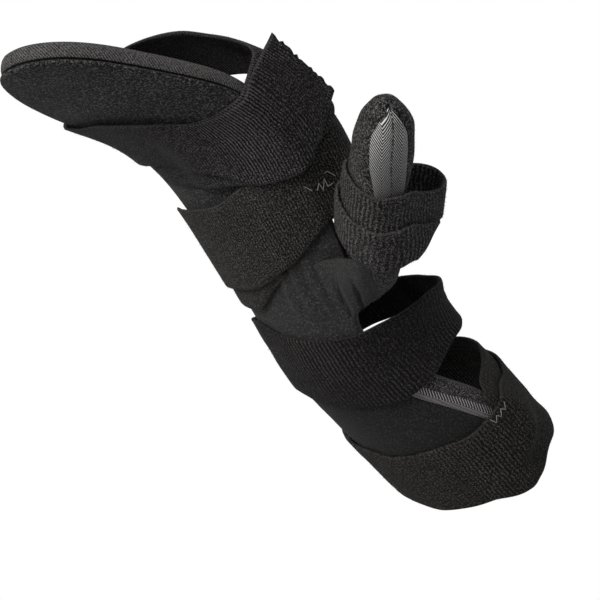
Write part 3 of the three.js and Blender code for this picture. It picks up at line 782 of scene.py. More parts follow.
def shifted(grid, normal, offset):
    """The grid with its rim moved out by offset, its rows spread evenly between."""
    rim = grid + normal * offset
    share = np.linspace(0, 1, PLAN_COLS + 1)[None, :, None]
    inner = rim[:, :1] * (1 - share) + rim[:, -1:] * share
    out = inner.copy()
    out[0], out[-1] = rim[0], rim[-1]
    out[0, :, 1] = inner[0, :, 1]
    return out


def rim_order(rows, cols):
    loop = [(i, cols - 1) for i in range(rows)]
    loop += [(rows - 1, j) for j in range(cols - 2, -1, -1)]
    loop += [(i, 0) for i in range(rows - 2, -1, -1)]
    return loop + [(0, j) for j in range(1, cols - 1)]


def level(s, w):
    """No relief."""
    return 0.0 * s


def pad_object(name, plan_grid, profile, relief_top, relief_bottom, materials):
    """Slab with a shaped wall; profile has offset and depth, materials are for face, wall and back."""
    grid, normal = plan_grid
    rows, cols = grid.shape[:2]
    count = rows * cols
    sheets, points = [], []
    for (offset, depth), relief in ((profile[0], relief_top), (profile[-1], relief_bottom)):
        sheet = shifted(grid, normal, offset)
        s, w = sheet[..., 0], sheet[..., 1]
        sheets.append(sheet)
        points.append(pad_point(s, w, depth + relief(s, w)).reshape(-1, 3))
    loop = rim_order(rows, cols)
    rings = [[i * cols + j for i, j in loop]]
    for offset, depth in profile[1:-1]:
        at = shifted(grid, normal, offset)[tuple(np.array(loop).T)]
        rings.append([sum(len(p) for p in points) + k for k in range(len(loop))])
        points.append(pad_point(at[:, 0], at[:, 1], depth))
    rings.append([count + i * cols + j for i, j in loop])
    points = np.vstack(points)

    faces, uvs, slots = [], [], []
    for i in range(rows - 1):
        for j in range(cols - 1):
            corners = [(i, j), (i, j + 1), (i + 1, j + 1), (i + 1, j)]
            faces.append([a * cols + b for a, b in corners])
            uvs.append([tuple(sheets[0][corner]) for corner in corners])
            corners = [corners[0]] + corners[:0:-1]
            faces.append([count + a * cols + b for a, b in corners])
            uvs.append([tuple(sheets[1][corner]) for corner in corners])
            slots += [FACE, BACK]
    rim = points[rings[0] + rings[0][:1]]
    along = arc_length(rim)
    down = [0.0]
    for upper, lower in zip(rings, rings[1:]):
        down.append(down[-1] + float(np.median(np.linalg.norm(points[lower] - points[upper], axis=1))))
    for k, (upper, lower) in enumerate(zip(rings, rings[1:])):
        for m in range(len(loop)):
            n = (m + 1) % len(loop)
            faces.append([upper[m], lower[m], lower[n], upper[n]])
            uvs.append([(along[m], down[k]), (along[m], down[k + 1]),
                        (along[m + 1], down[k + 1]), (along[m + 1], down[k])])
            slots.append(WALL)
    return cloth_object(name, points, faces, uvs, materials, slots)


# Walls from top to bottom: how far out and how deep, the cover's depth as a share of its thickness
PAD_WALL = [(-1.9, 0.0), (-0.9, 0.22), (-0.15, 0.95), (0.35, 2.2), (0.55, 3.9), (0.4, 5.6), (-0.1, 6.9),
            (-0.9, 7.6), (-1.8, LINING_THICKNESS)]
COVER_WALL = [(-1.4, 0.0), (-0.5, 0.03), (0.1, 0.25), (0.3, 0.52), (0.15, 0.78), (-0.4, 0.93),
              (-1.2, 0.985), (-2.6, 1.0)]


def quilting(s, w):
    return 0.22 * ripple(s, w, 3, 14, 40) * smooth((border(s, 1) - np.abs(w)) / 6)


def build_pad():
    return pad_object("pad_lining", plan(), PAD_WALL, quilting, level, [LINING, LOOP, LINING])


PALM_FOLDS = table(
    "w from to high wide lean",
    (11.0, 112.0, 152.0, 2.0, 2.0, 0.02),
    (16.5, 108.0, 152.0, 2.6, 2.2, 0.04),
    (22.5, 110.0, 149.0, 2.4, 2.2, 0.05),
    (29.0, 114.0, 146.0, 1.2, 2.0, 0.05),
)
FOLD_FADE = 12.0
RELIEF_FADE = 5.0


def tape_inset(s):
    return (TAPE_WIDTH + SEAM_GAP) * (1 - smooth((s - TAPE_LENGTH - TAPE_END) / TAPE_WIDTH))


def cover_relief(s, w):
    out = 0.18 * ripple(s, w, 11, 16, 46)
    for f in PALM_FOLDS:
        centre = f["w"] + (s - f["from"]) * f["lean"]
        ends = smooth((s - f["from"]) / FOLD_FADE) * smooth((f["to"] - s) / FOLD_FADE)
        out = out + f["high"] * ends * np.exp(-((w - centre) / f["wide"]) ** 2)
    near = np.minimum(border(s, 1) - tape_inset(s) - w, w + border(s, -1))
    return out * smooth(near / RELIEF_FADE)


def build_cover():
    profile = [(offset, COVER_INNER + COVER_THICKNESS * share) for offset, share in COVER_WALL]
    return pad_object("cover_fleece", plan(tape_inset), profile, level, cover_relief,
                      [FLEECE_RIM, FLEECE_RIM, FLEECE])


def build_forearm_tape():
    """Twill column and plain binding side by side, each with a crown, over the pad's edge."""
    rows, cols = 90, 21
    s = np.linspace(0.2, TAPE_LENGTH, rows)
    v = np.linspace(-TAPE_WIDTH, 0, cols)
    across = (v + TAPE_WIDTH) / TAPE_WIDTH
    crown = 0.55 * np.sqrt(np.clip(np.sin(np.pi * np.mod(across * 2, 1.0)), 0, 1)) - 0.25
    drop = PAD_EDGE_ROUND * smooth((v + 2.0) / 2.0)
    station = each_row(s, cols)
    w = border(s, 1)[:, None] + v[None, :]
    outer = pad_point(station, w, PAD_THICKNESS + crown[None, :] - drop[None, :])
    inner = pad_point(station, w, COVER_INNER)
    u = each_row(arc_length(outer[:, 0]), cols)
    slots = [0 if x < 0.5 else 1 for x in across[:-1]]
    return slab_object("tape_forearm", outer, inner, u, each_column(v + TAPE_WIDTH * 0.75, rows),
                       [FOREARM_TWILL, BINDING], slots)


# Straps

LAP_FROM = 318.0
LAP_OVER = 38.0
WAVE_DOWN = 0.12
WRIST_BULGE = 3.2
WRIST_BULGE_AT = 388.0
WRIST_BULGE_OVER = 26.0
FREE_END_FROM = 708.0
FREE_END_FAR = np.array([-51.7, 113.7, 57.3])
FREE_END_NEAR = np.array([-57.7, 78.1, 56.6])
FREE_END_STEPS = 12


def curvature(s):
    return (slope_at(s + 1.0) - slope_at(s - 1.0)) / 2.0


def strap_stations(turns, centre, v):
    """Stations across the band: where the outer side of a bend spreads them, the cloth keeps its width."""
    out = np.empty((len(turns), len(v)))
    out[:, 0] = centre - v[0]
    for j in range(1, len(v)):
        s = out[:, j - 1]
        z = wrap_centre(s) + wrap_radius(s, turns) * np.sin(np.radians(turns))
        spread = np.maximum(1.0 - curvature(s) * z, 1.0)
        out[:, j] = s - (v[j] - v[j - 1]) / spread
    return out


def strap_grid(strap, steps=1.6, cols=26):
    """Turns, places across the band, its stations and how far it stands off the wrap."""
    path = strap["path"]
    start, end = path[0]["turn"], path[-1]["turn"]
    turns = np.linspace(start, end, int((end - start) / steps) + 1)
    lead = column(path, "lead", "turn", turns)
    lift = column(path, "lift", "turn", turns) if "lift" in path[0] else 0 * turns
    half = strap["width"] / 2
    even = np.linspace(-1, 1, cols + 1)
    v = half * (0.45 * np.sin(even * math.pi / 2) + 0.55 * even)
    run = end - turns if strap.get("backwards") else turns - start
    lap = smooth((run - LAP_FROM) / LAP_OVER)
    s = strap_stations(turns, to_station(strap["along"]) + lead * strap["width"], v)
    share = (v + half) / strap["width"]
    if "flare" in strap:
        s = s - column(strap["flare"], "near", "turn", turns)[:, None] * share[None, :] ** 2
    climb = np.minimum(1.0, 2.0 * share)
    rise = STRAP_SEAT + (lap[:, None] + lift[:, None] * climb[None, :]) * PLY_RISE
    return turns, v, s, rise


def strap_waves(u, v, half, seed):
    """How far the cloth stands off its taut line, more so at its edges."""
    edges = smooth((np.abs(v) - half + 7) / 7)
    waves = 0.22 * ripple(u, v, seed, 10, 30) + 0.25 * ripple(u, v, seed + 50, 22, 60) * edges
    return np.clip(waves, -WAVE_DOWN, 0.8)


def with_free_end(outer, inner, u, v, seed):
    """The grids carried on to a ragged cut end that stands off the wrap."""
    start, before = (outer[-1] + inner[-1]) / 2, (outer[-3] + inner[-3]) / 2
    half_ply = (outer[-1] - inner[-1]) / 2
    count, begun = v.shape[1], u[-1]
    share = np.linspace(0, 1, count)[:, None]
    way = FREE_END_FAR * (1 - share) + FREE_END_NEAR * share - start
    reach = np.linalg.norm(way, axis=1, keepdims=True)
    turn_in = unit_rows(start - before)
    ragged = np.random.default_rng(seed).uniform(-0.5, 1.1, (count, 1))
    for n in range(1, FREE_END_STEPS + 1):
        k = n / FREE_END_STEPS
        middle = start + turn_in * reach * 0.6 * k * (1 - k) ** 2 + way * k
        if n == FREE_END_STEPS:
            middle = middle + ragged * way / reach
        outer = np.vstack([outer, (middle + half_ply)[None]])
        inner = np.vstack([inner, (middle - half_ply)[None]])
        u = np.vstack([u, (begun + reach[:, 0] * k)[None]])
        v = np.vstack([v, v[-1][None]])
    return outer, inner, u, v


def build_strap(strap, seed):
    turns, across, s, rise = strap_grid(strap)
    half = strap["width"] / 2
    turn = each_row(turns, len(across))
    middle = len(across) // 2
    u = each_row(arc_length(wrap_point(s[:, middle], turns, rise[:, middle])), len(across))
    v = each_column(across, len(turns))
    wave = strap_waves(u, v, half, seed)
    if strap["name"] == "wrist_strap":
        wave = wave + WRIST_BULGE * np.exp(-((turn - WRIST_BULGE_AT) / WRIST_BULGE_OVER) ** 2)
    s = s + 0.35 * ripple(u, 0 * u, seed + 9, 12, 40) * (np.abs(v) / half) ** 3
    centre = rise + STRAP_THICKNESS / 2 + wave
    half_ply = STRAP_THICKNESS * edge_round(v, half) / 2
    outer = wrap_point(s, turn, centre + half_ply)
    inner = wrap_point(s, turn, centre - half_ply)
    if strap.get("free_end"):
        keep = turns <= FREE_END_FROM
        outer, inner, u, v = with_free_end(outer[keep], inner[keep], u[keep], v[keep], seed)
    knit = knit_material(strap["name"] + "_knit", half=half, **KNITS[strap["name"]])
    return slab_object("band_" + strap["name"].split("_")[0], outer, inner, u, v, [knit]), outer, u, v


# Thumb stay: as dressed, its cover is fuller at the root and narrower at the tip than the bare stay

STAY_DRESS = table(
    "along width thick lean sway",
    (0.00, 0.20, 0.00, 0.15, 0.00),
    (0.10, 0.12, 0.06, 0.08, 0.00),
    (0.22, 0.08, 0.22, 0.06, 0.16),
    (0.35, 0.12, 0.16, 0.08, 0.08),
    (0.55, 0.02, 0.08, 0.00, 0.06),
    (0.75, 0.00, 0.24, 0.00, 0.18),
    (0.88, 0.00, 0.26, -0.02, 0.12),
    (0.95, 0.00, 0.12, -0.06, -0.08),
    (0.99, -0.04, 0.00, -0.14, -0.22),
    (1.00, -0.06, -0.10, -0.16, -0.28),
)

# Tape as dressed: half of its width as a share of the stay's half thickness, and how far off its middle
TAPE_DRESS = table(
    "along half off",
    (0.40, 0.50, 0.4),
    (0.62, 0.57, -0.4),
    (0.75, 0.62, -2.2),
    (0.86, 0.65, -2.6),
    (0.93, 0.56, -2.0),
    (0.985, 0.18, -0.5),
)
TAPE_FROM, TAPE_TO = TAPE_DRESS[0]["along"], TAPE_DRESS[-1]["along"]


def stay_value(key, along):
    return float(column(STAY_SECTIONS, key, "along", along) + column(STAY_DRESS, key, "along", along))


HAND_SLOPE = float(slope_at(to_station(0.2)))
HAND_AXIS = np.array([0, math.cos(HAND_SLOPE), math.sin(HAND_SLOPE)])
PALM_AXIS = np.array([0, math.sin(HAND_SLOPE), -math.cos(HAND_SLOPE)])
THUMB_SIDE = np.array([-1.0, 0, 0])
SPREAD, TURN = math.radians(THUMB_SPREAD), math.radians(THUMB_TURN)
POST_AXIS = math.cos(SPREAD) * HAND_AXIS + math.sin(SPREAD) * THUMB_SIDE
POST_SIDE = -math.sin(SPREAD) * HAND_AXIS + math.cos(SPREAD) * THUMB_SIDE
POST_EDGE = math.cos(TURN) * POST_SIDE + math.sin(TURN) * PALM_AXIS
TOWARDS_THUMB = math.sin(TURN) * POST_SIDE - math.cos(TURN) * PALM_AXIS

ROOT_STATION = to_station(0) + THUMB_ROOT_AT
ROOT_DEPTH = PAD_THICKNESS * 0.45
ROOT = pad_point(ROOT_STATION, THUMB_ROOT_IN, ROOT_DEPTH)
ROOT_WAY = unit(pad_point(ROOT_STATION, THUMB_ROOT_IN + 1, ROOT_DEPTH) - ROOT)
POST_START = ROOT + THUMB_OUT * THUMB_SIDE - THUMB_RISE * PALM_AXIS + THUMB_FORWARD * HAND_AXIS


def centripetal(points, count=900):
    """Catmull-Rom line through points with square-root spacing, as even steps, and its length."""
    p = [2 * points[0] - points[1]] + points + [2 * points[-1] - points[-2]]
    out = []
    for a, b, c, d in zip(p, p[1:], p[2:], p[3:]):
        before, here, after = (max(np.linalg.norm(y - x) ** 0.5, 1e-4) for x, y in ((a, b), (b, c), (c, d)))
        leave = ((b - a) / before - (c - a) / (before + here) + (c - b) / here) * here
        arrive = ((c - b) / here - (d - b) / (here + after) + (d - c) / after) * here
        out.append(hermite(np.linspace(0, 1, 120, endpoint=False)[:, None], b, leave, c, arrive))
    out.append(p[-2][None])
    line = np.vstack(out)
    length = arc_length(line)
    even = np.linspace(0, length[-1], count)
    return np.stack([np.interp(even, length, line[:, k]) for k in range(3)], -1), length[-1]


STAY_LINE, STAY_LENGTH = centripetal(
    [ROOT, ROOT + ROOT_WAY * THUMB_OUT * 0.4]
    + [POST_START + POST_AXIS * THUMB_POST_LENGTH * share for share in (0, 0.33, 0.66, 1)])
STAY_TANGENT = unit_rows(np.gradient(STAY_LINE, axis=0))
ROOT_BLEND = 0.26


def at_share(line, share):
    """Point of an evenly spaced line, a share of its length along it."""
    t = share * (len(line) - 1)
    return np.array([np.interp(t, np.arange(len(line)), line[:, k]) for k in range(3)])


def stay_frame(along):
    """Middle of the stay's section, with the ways to its edge and to its thumb side."""
    share = min(max(along, 0.0), 1.0)
    forward = unit(at_share(STAY_TANGENT, share))
    f = float(smooth(along / ROOT_BLEND))
    edge = -HAND_AXIS * (1 - f) + POST_EDGE * f
    edge = unit(edge - forward * edge.dot(forward))
    flat = unit(np.cross(forward, edge))
    if flat.dot(TOWARDS_THUMB) < 0:
        flat = -flat
    lean = stay_value("lean", along) * THUMB_POST_WIDTH / 2
    sway = stay_value("sway", along) * THUMB_POST_THICKNESS / 2
    return at_share(STAY_LINE, share) + edge * lean + flat * sway, edge, flat


def stay_half(along):
    wide = stay_value("width", along) * THUMB_POST_WIDTH / 2
    return wide, stay_value("thick", along) * THUMB_POST_THICKNESS / 2


def squash(v):
    return math.copysign(abs(v) ** STAY_SQUARE, v)


def stay_spots(along, angles):
    """Places on the stay's bare outline, by their angles from the edge round to the thumb side."""
    middle, edge, flat = stay_frame(along)
    wide, thick = stay_half(along)
    return np.array([middle + edge * wide * squash(math.cos(a)) + flat * thick * squash(math.sin(a))
                     for a in angles])


def stay_ring(along, sides):
    return stay_spots(along, [2 * math.pi * (k + 1) / sides for k in range(sides)])


STAY_SIDES = 56
STAY_SIDE_LENGTH = 1.45
CREASE_DEPTH = 0.35
CREASE_WAVE = 0.42


def stay_cloth_ring(along):
    """Ring of the stay's cover, with soft puffs and, near its root, creases."""
    ring = stay_ring(along, STAY_SIDES)
    way = ring - ring.mean(0)
    way /= np.maximum(np.linalg.norm(way, axis=1, keepdims=True), 1e-6)
    gone = along * STAY_LENGTH
    angle = 2 * math.pi * (np.arange(STAY_SIDES) + 1) / STAY_SIDES
    puff = 0.28 * ripple(gone + 0 * angle, angle * 9.0, 21, 10, 26)
    fade = float(smooth((along - 0.05) / 0.1) * smooth((1 - along) / 0.04))
    crease = CREASE_DEPTH * math.exp(-(math.sin(gone * CREASE_WAVE) ** 2) / 0.05)
    crease *= float(smooth((0.5 - along) / 0.2))
    return ring + way * (np.minimum(puff, 0.25) * fade - crease)[:, None]


def build_stay():
    sides = STAY_SIDES
    alongs = np.concatenate([np.linspace(0.0, 0.86, 62), 1 - 0.14 * np.linspace(0.96, 0.0, 22) ** 1.6])
    rings = np.array([stay_cloth_ring(along) for along in alongs])
    points = np.vstack([rings.reshape(-1, 3), rings[0].mean(0)[None], rings[-1].mean(0)[None]])
    u = alongs * STAY_LENGTH
    around = np.arange(sides + 1) * STAY_SIDE_LENGTH
    faces, uvs = [], []
    for i in range(len(rings) - 1):
        for j in range(sides):
            k = (j + 1) % sides
            faces.append([i * sides + j, i * sides + k, (i + 1) * sides + k, (i + 1) * sides + j])
            uvs.append([(u[i], around[j]), (u[i], around[j + 1]),
                        (u[i + 1], around[j + 1]), (u[i + 1], around[j])])
    root = len(rings) * sides
    rim = root - sides
    for j in range(sides):
        k = (j + 1) % sides
        faces += [[root, k, j], [root + 1, rim + j, rim + k]]
        uvs.append([(0, 0), (0, around[j + 1]), (0, around[j])])
        uvs.append([(u[-1], 0), (u[-1], around[j]), (u[-1], around[j + 1])])
    return cloth_object("stay_cover", points, faces, uvs, [FLEECE_STAY])


def stay_tape_row(along, widths, height):
    """Points across the stay's edge, height above its bare outline."""
    middle, edge, flat = stay_frame(along)
    wide, thick = stay_half(along)
    share = np.clip(np.abs(widths) / thick, 0.0, 1.0)
    bulge = (1 - share ** (2 / STAY_SQUARE)) ** (STAY_SQUARE / 2)
    return middle + edge * (wide * bulge + height)[:, None] + flat * widths[:, None]


def tape_half(along):
    return float(column(TAPE_DRESS, "half", "along", along)) * stay_half(along)[1]


def build_stay_tape():
    cols = 23
    outer, inner, v = [], [], []
    share = np.linspace(-1, 1, cols)
    crown = 0.35 + 0.65 * np.sqrt(np.clip(1 - share ** 6, 0, 1))
    for along in np.linspace(TAPE_FROM, TAPE_TO, 120):
        widths = share * tape_half(along)
        ends = float(smooth((TAPE_TO - along) / 0.04) * smooth((along - TAPE_FROM) / 0.02))
        top = THUMB_TAPE_THICKNESS * crown * (0.3 + 0.7 * ends) - 0.3 * np.exp(-(widths / 0.5) ** 2)
        places = widths + float(column(TAPE_DRESS, "off", "along", along))
        outer.append(stay_tape_row(along, places, 0.4 + top - 0.9 * (1 - ends)))
        inner.append(stay_tape_row(along, places, 0 * top - 0.3))
        v.append(widths)
    outer = np.array(outer)
    u = each_row(arc_length(outer[:, cols // 2]), cols)
    return slab_object("tape_thumb", outer, np.array(inner), -u, np.array(v), [TAPE])


# Fleece web that carries the cover out onto the stay, with soft folds that fan from the thumb

WEB = table(
    "share station inward along side",
    (0.0, 106.0, 24.0, 0.05, 1.0),
    (0.33, 114.0, 21.0, 0.15, 0.85),
    (0.66, 124.0, 19.0, 0.25, 0.55),
    (1.0, 136.0, 20.0, 0.36, 0.25),
)
WEB_SUNK = 1.0


def build_web():
    rows, cols = 48, 44
    outer, inner = [], []
    k = np.linspace(0, 1, cols)[:, None]
    for p in np.linspace(0, 1, rows):
        station, inward, along, side = (float(column(WEB, key, "share", p))
                                        for key in ("station", "inward", "along", "side"))
        start = pad_point(station, inward, PAD_THICKNESS - WEB_SUNK)
        leave = pad_point(station, inward + 1, PAD_THICKNESS - WEB_SUNK) - start
        down = unit(pad_point(station, inward, PAD_THICKNESS) - pad_point(station, inward, 0))
        edge, flat = stay_frame(along)[1:]
        end = stay_spots(along, [math.radians(90.0 * side - 90.0) * 0.55])[0]
        arrive = unit(flat * 0.9 + edge * 0.35)
        reach = np.linalg.norm(end - start)
        line = hermite(k, start, leave * reach * 1.1, end, arrive * reach * 0.8)
        crease = 1.2 - 2.4 * np.exp(-(np.sin(math.pi * (k * 3.4 - 0.5 * p + 0.15)) / 0.45) ** 2)
        fold = crease * np.sin(math.pi * k) * math.sin(math.pi * min(p + 0.12, 1.0))
        out = unit(down + edge)
        outer.append(line + out * (fold + 0.3 + 0.5 * smooth(k / 0.2) - 0.9 * smooth((k - 0.82) / 0.18)))
        inner.append(line + out * (fold - 0.8))
    outer = np.array(outer)
    u = each_row(arc_length(outer[:, cols // 2]), cols)
    v = each_column(arc_length(outer[rows // 2]), rows)
    return slab_object("web_fleece", outer, np.array(inner), u, v, [FLEECE])


# Thumb strap: a taut wrap of its own round the stay, its tape and the thumb

THUMB_CENTRE = POST_START + TOWARDS_THUMB * THUMB_POST_THICKNESS / 2
THUMB_WRAP_STEP = 3.0
THUMB_WRAP_BLUR = 2.5
THUMB_HEIGHTS = np.arange(-40.0, 62.0, 1.0)
THUMB_LIMB = THUMB_HALF_WIDTH - 0.8
THUMB_LAP_FROM = 346.0
THUMB_LAP_OVER = 12.0
THUMB_CLIMB_FROM = 450.0
THUMB_CLIMB_OVER = 190.0
THUMB_MEAN_RADIUS = 15.0


def make_thumb_wrap():
    table = []
    for h in THUMB_HEIGHTS:
        along = min(max(1 - (THUMB_POST_LENGTH - h) / STAY_LENGTH, 0.0), 1.0)
        widths = np.linspace(-1, 1, 7) * tape_half(along)
        over_tape = 0 * widths + TAPE_SEAT + THUMB_TAPE_THICKNESS + PLY_GAP
        marks = np.vstack([stay_ring(along, 36), stay_tape_row(along, widths, over_tape)]) - THUMB_CENTRE
        supports = [(-p.dot(POST_EDGE), p.dot(TOWARDS_THUMB), 0.0) for p in marks]
        supports.append((0.0, THUMB_LIMB, THUMB_LIMB))
        directions = np.radians(np.arange(0.0, 360.0, THUMB_WRAP_STEP))
        table.append(radius_of(np.array(supports), None, directions))
    return blurred(np.array(table), THUMB_WRAP_BLUR)


def build_thumb_strap():
    wrap = make_thumb_wrap()
    start, end = THUMB_STRAP_FROM, THUMB_STRAP_TO
    across = np.linspace(0, 1, 19)
    share = np.linspace(0, 1, int((end - start) / 2.4) + 1)
    v = each_column(THUMB_STRAP_WIDTH * (0.5 - across), len(share))
    turn = start + share[:, None] * (end - start - THUMB_STRAP_SLANT * across[None, :])
    height = (THUMB_STRAP_AT - THUMB_STRAP_PITCH * smooth((turn - THUMB_CLIMB_FROM) / THUMB_CLIMB_OVER)
              - THUMB_STRAP_TILT * np.maximum(0, np.sin(np.radians(turn))) + v)
    u = np.radians(turn - start) * THUMB_MEAN_RADIUS
    wave = np.clip(0.3 * ripple(u, v, 33, 8, 24), -WAVE_DOWN, 0.6)
    lap = smooth((turn - start - THUMB_LAP_FROM) / THUMB_LAP_OVER)
    centre = STRAP_SEAT + lap * PLY_RISE + STRAP_THICKNESS / 2 + wave
    half_ply = STRAP_THICKNESS * edge_round(v, THUMB_STRAP_WIDTH / 2) / 2

    def point(offset):
        r = looked_up(wrap, THUMB_HEIGHTS[0], THUMB_WRAP_STEP, height, turn) + offset
        t = np.radians(turn)
        return (THUMB_CENTRE + POST_AXIS * height[..., None] + POST_EDGE * (r * np.cos(t))[..., None]
                + TOWARDS_THUMB * (r * np.sin(t))[..., None])

    knit = knit_material("thumb_strap_knit", half=THUMB_STRAP_WIDTH / 2, **KNITS["thumb_strap"])
    return slab_object("band_thumb", point(centre + half_ply), point(centre - half_ply), u, v, [knit]), u


# Loose fibres that stand off brushed cloth

FIBRE_HALF_WIDTH = 0.000045
FIBRE_SCATTER = 0.0004


def polygon_values(mesh, key, size):
    values = np.empty(len(mesh.polygons) * size)
    mesh.polygons.foreach_get(key, values)
    return values.reshape(-1, size)


def build_fibres(name, obj, count, length, seed):
    rng = np.random.default_rng(seed)
    area = polygon_values(obj.data, "area", 1)[:, 0]
    centre, normal = (polygon_values(obj.data, key, 3) for key in ("center", "normal"))
    pick = rng.choice(len(area), count, p=area / area.sum())
    base = centre[pick] + rng.normal(0, FIBRE_SCATTER, (count, 3))
    base -= normal[pick] * np.einsum("ij,ij->i", base - centre[pick], normal[pick])[:, None]
    way = unit_rows(normal[pick] + rng.normal(0, 0.75, (count, 3)))
    side = unit_rows(np.cross(way, rng.normal(0, 1, (count, 3))))
    reach = rng.uniform(0.4, 1.0, (count, 1)) * length * MM
    half = side * FIBRE_HALF_WIDTH
    bend = base + way * reach * 0.6 + side * reach * 0.12
    tip = base + way * reach + side * reach * 0.3
    points = np.stack([base - half, base + half, bend + half * 0.7, bend - half * 0.7, tip], 1)
    faces = []
    for a in range(0, 5 * count, 5):
        faces += [(a, a + 1, a + 2, a + 3), (a + 3, a + 2, a + 4)]
    return plain_object(name, points.reshape(-1, 3), faces, FIBRE)


# Pale thread that shows on the straps, as turns round the wrap and places across the band
ZIGZAGS = {
    "palm_strap": [
        [(-21.0, 0.6), (-18.7, 3.9)],
        [(-16.2, 5.6), (-13.9, 3.6), (-13.2, 7.2), (-10.4, 4.4), (-10.2, 8.4), (-7.5, 7.2)],
        [(-9.4, 1.2), (-7.5, 2.4), (-4.6, 5.6)],
    ],
    "forearm_strap": [
        [(359.0, -17.1), (356.6, -14.6), (355.0, -17.4), (352.6, -14.8), (351.0, -17.6), (348.6, -15.0),
         (347.0, -17.8)],
    ],
}
THREAD_WIDTH = 0.30
THREAD_STEPS = 6


def on_face(turns, outer, v, turn, across):
    """Place on a strap's face, with the way out of it."""
    row = int(np.clip(np.searchsorted(turns, turn), 1, len(turns) - 2))
    share = (turn - turns[row - 1]) / (turns[row] - turns[row - 1])
    col = int(np.abs(v[0] - across).argmin())
    face = outer[row - 1, col] * (1 - share) + outer[row, col] * share
    out = unit(np.cross(outer[row + 1, col] - outer[row - 1, col], outer[row, col] - outer[row, col - 1]))
    inwards = outer[(row + len(turns) // 3) % len(turns), col] - face
    return face, -out if out.dot(inwards) > 0 else out


def build_thread(strap, outer, v):
    """Flat strands that lie on the strap's face."""
    turns = strap_grid(strap)[0]
    points, faces = [], []
    for line in ZIGZAGS[strap["name"]]:
        at = [on_face(turns, outer, v, turn, across) for turn, across in line]
        for (a, out_a), (b, out_b) in zip(at, at[1:]):
            side = unit(np.cross(b - a, out_a)) * THREAD_WIDTH / 2
            base = len(points)
            for k in np.linspace(0, 1, THREAD_STEPS + 1):
                lift = 0.12 + 0.25 * math.sin(math.pi * k)
                middle = a * (1 - k) + b * k + (out_a * (1 - k) + out_b * k) * lift
                points += [middle - side, middle + side, middle + out_a * THREAD_WIDTH * 0.7]
            for c in range(base, base + 3 * THREAD_STEPS, 3):
                faces += [(c, c + 1, c + 4, c + 3), (c + 1, c + 2, c + 5, c + 4), (c + 2, c, c + 3, c + 5)]
    thread = plain_object("thread_" + strap["name"], np.array(points) * MM, faces, THREAD)
    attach(thread, "root")


# The dressed splint

def take(piece, node):
    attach(piece, "root")
    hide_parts(node)
    return piece


pad = take(build_pad(), "splint_pad")
cover = take(build_cover(), "outer_cover")
take(build_web(), "outer_cover")
take(build_forearm_tape(), "forearm_tape")
stay = take(build_stay(), "thumb_stay")
take(build_stay_tape(), "thumb_tape")
bands = []
for number, strap in enumerate(STRAPS):
    band, outer, u, v = build_strap(strap, 100 + 7 * number)
    bands.append(take(band, strap["name"]))
    if strap["name"] in ZIGZAGS:
        build_thread(strap, outer, v)
band, u = build_thumb_strap()
bands.append(take(band, "thumb_strap"))

# Each brushed piece with its number of fibres and their length in millimetres
BRUSHED = [(band, 5200, 1.1) for band in bands] + [(cover, 5200, 0.8), (stay, 2600, 0.8)]
for number, (piece, count, length) in enumerate(BRUSHED):
    fibres = build_fibres("fibres_" + piece.name, piece, count, length, 500 + number)
    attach(fibres, "root")


# Camera: out from the palm, round towards the thumb, up along the hand and rolled, in degrees

CAMERA_HAND_SLOPE = 18.94
CAMERA_ROUND = 54.27
CAMERA_UP = 11.16
CAMERA_ROLL = 117.98
CAMERA_DISTANCE = 820.0
CAMERA_AIM = np.array([4.0, 10.02, 10.10])
SENSOR_WIDTH = 36.0
PICTURE_PIXELS = 600.0
PIXELS_A_MILLIMETRE = 2.2196


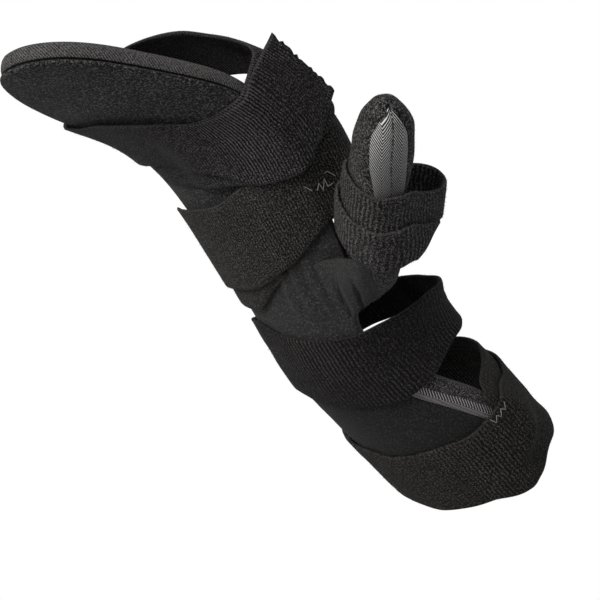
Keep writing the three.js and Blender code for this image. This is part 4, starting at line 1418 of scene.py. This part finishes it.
def camera_axes():
    """Ways to the right of the picture, up it and back to the camera."""
    slope, around, up, roll = (math.radians(angle) for angle in
                               (CAMERA_HAND_SLOPE, CAMERA_ROUND, CAMERA_UP, CAMERA_ROLL))
    hand = np.array([0, math.cos(slope), math.sin(slope)])
    under = np.array([0, math.sin(slope), -math.cos(slope)])
    back = (math.cos(up) * (math.cos(around) * under + math.sin(around) * THUMB_SIDE)
            + math.sin(up) * hand)
    along = unit(hand - hand.dot(back) * back)
    across = np.cross(along, back)
    return (math.cos(roll) * along + math.sin(roll) * across,
            math.sin(roll) * along - math.cos(roll) * across, back)


RIGHT, UP, BACK_WAY = camera_axes()


def place_camera():
    data = bpy.data.cameras.new("camera")
    data.sensor_width = SENSOR_WIDTH
    data.lens = SENSOR_WIDTH * PIXELS_A_MILLIMETRE * CAMERA_DISTANCE / PICTURE_PIXELS
    data.clip_start = 0.05
    camera = add_object("camera", data)
    where = (CAMERA_AIM + BACK_WAY * CAMERA_DISTANCE) * MM
    columns = [(*RIGHT, 0), (*UP, 0), (*BACK_WAY, 0), (*where, 1)]
    camera.matrix_world = Matrix(columns).transposed()
    bpy.context.scene.camera = camera


# Floor and light, with the floor's sizes in metres

FLOOR_DEPTH = 0.62


def lay_floor():
    paint = plain_material("floor_paint", PALE, 1.5, 0.88, 0.92, roughness=0.9)
    corners = [(x, y, -FLOOR_DEPTH) for x, y in ((-6, -6), (6, -6), (6, 6), (-6, 6))]
    plain_object("floor", corners, [(0, 1, 2, 3)], paint)


def area_light(name, way, distance, size, watts, colour):
    data = bpy.data.lights.new(name, "AREA")
    data.size = size
    data.energy = watts
    data.color = colour
    lamp = add_object(name, data)
    spot = Vector((CAMERA_AIM + unit(way) * distance) * MM)
    lamp.location = spot
    lamp.rotation_euler = (Vector(CAMERA_AIM * MM) - spot).to_track_quat("-Z", "Y").to_euler()


def white_world():
    world = bpy.data.worlds.new("studio")
    bpy.context.scene.world = world
    world.use_nodes = True
    background = world.node_tree.nodes["Background"]
    background.inputs[0].default_value = (1.0, 1.0, 1.0, 1.0)
    background.inputs[1].default_value = 1.0


place_camera()
lay_floor()
white_world()
area_light("key", -0.9 * RIGHT + 0.6 * UP + 0.9 * BACK_WAY, distance=1300, size=0.5, watts=26.0,
           colour=(1.0, 0.97, 0.95))
area_light("fill", 0.8 * RIGHT + 0.9 * UP + 0.5 * BACK_WAY, distance=1400, size=0.9, watts=3.0,
           colour=(0.95, 0.97, 1.0))
bpy.context.scene.view_settings.view_transform = "Standard"
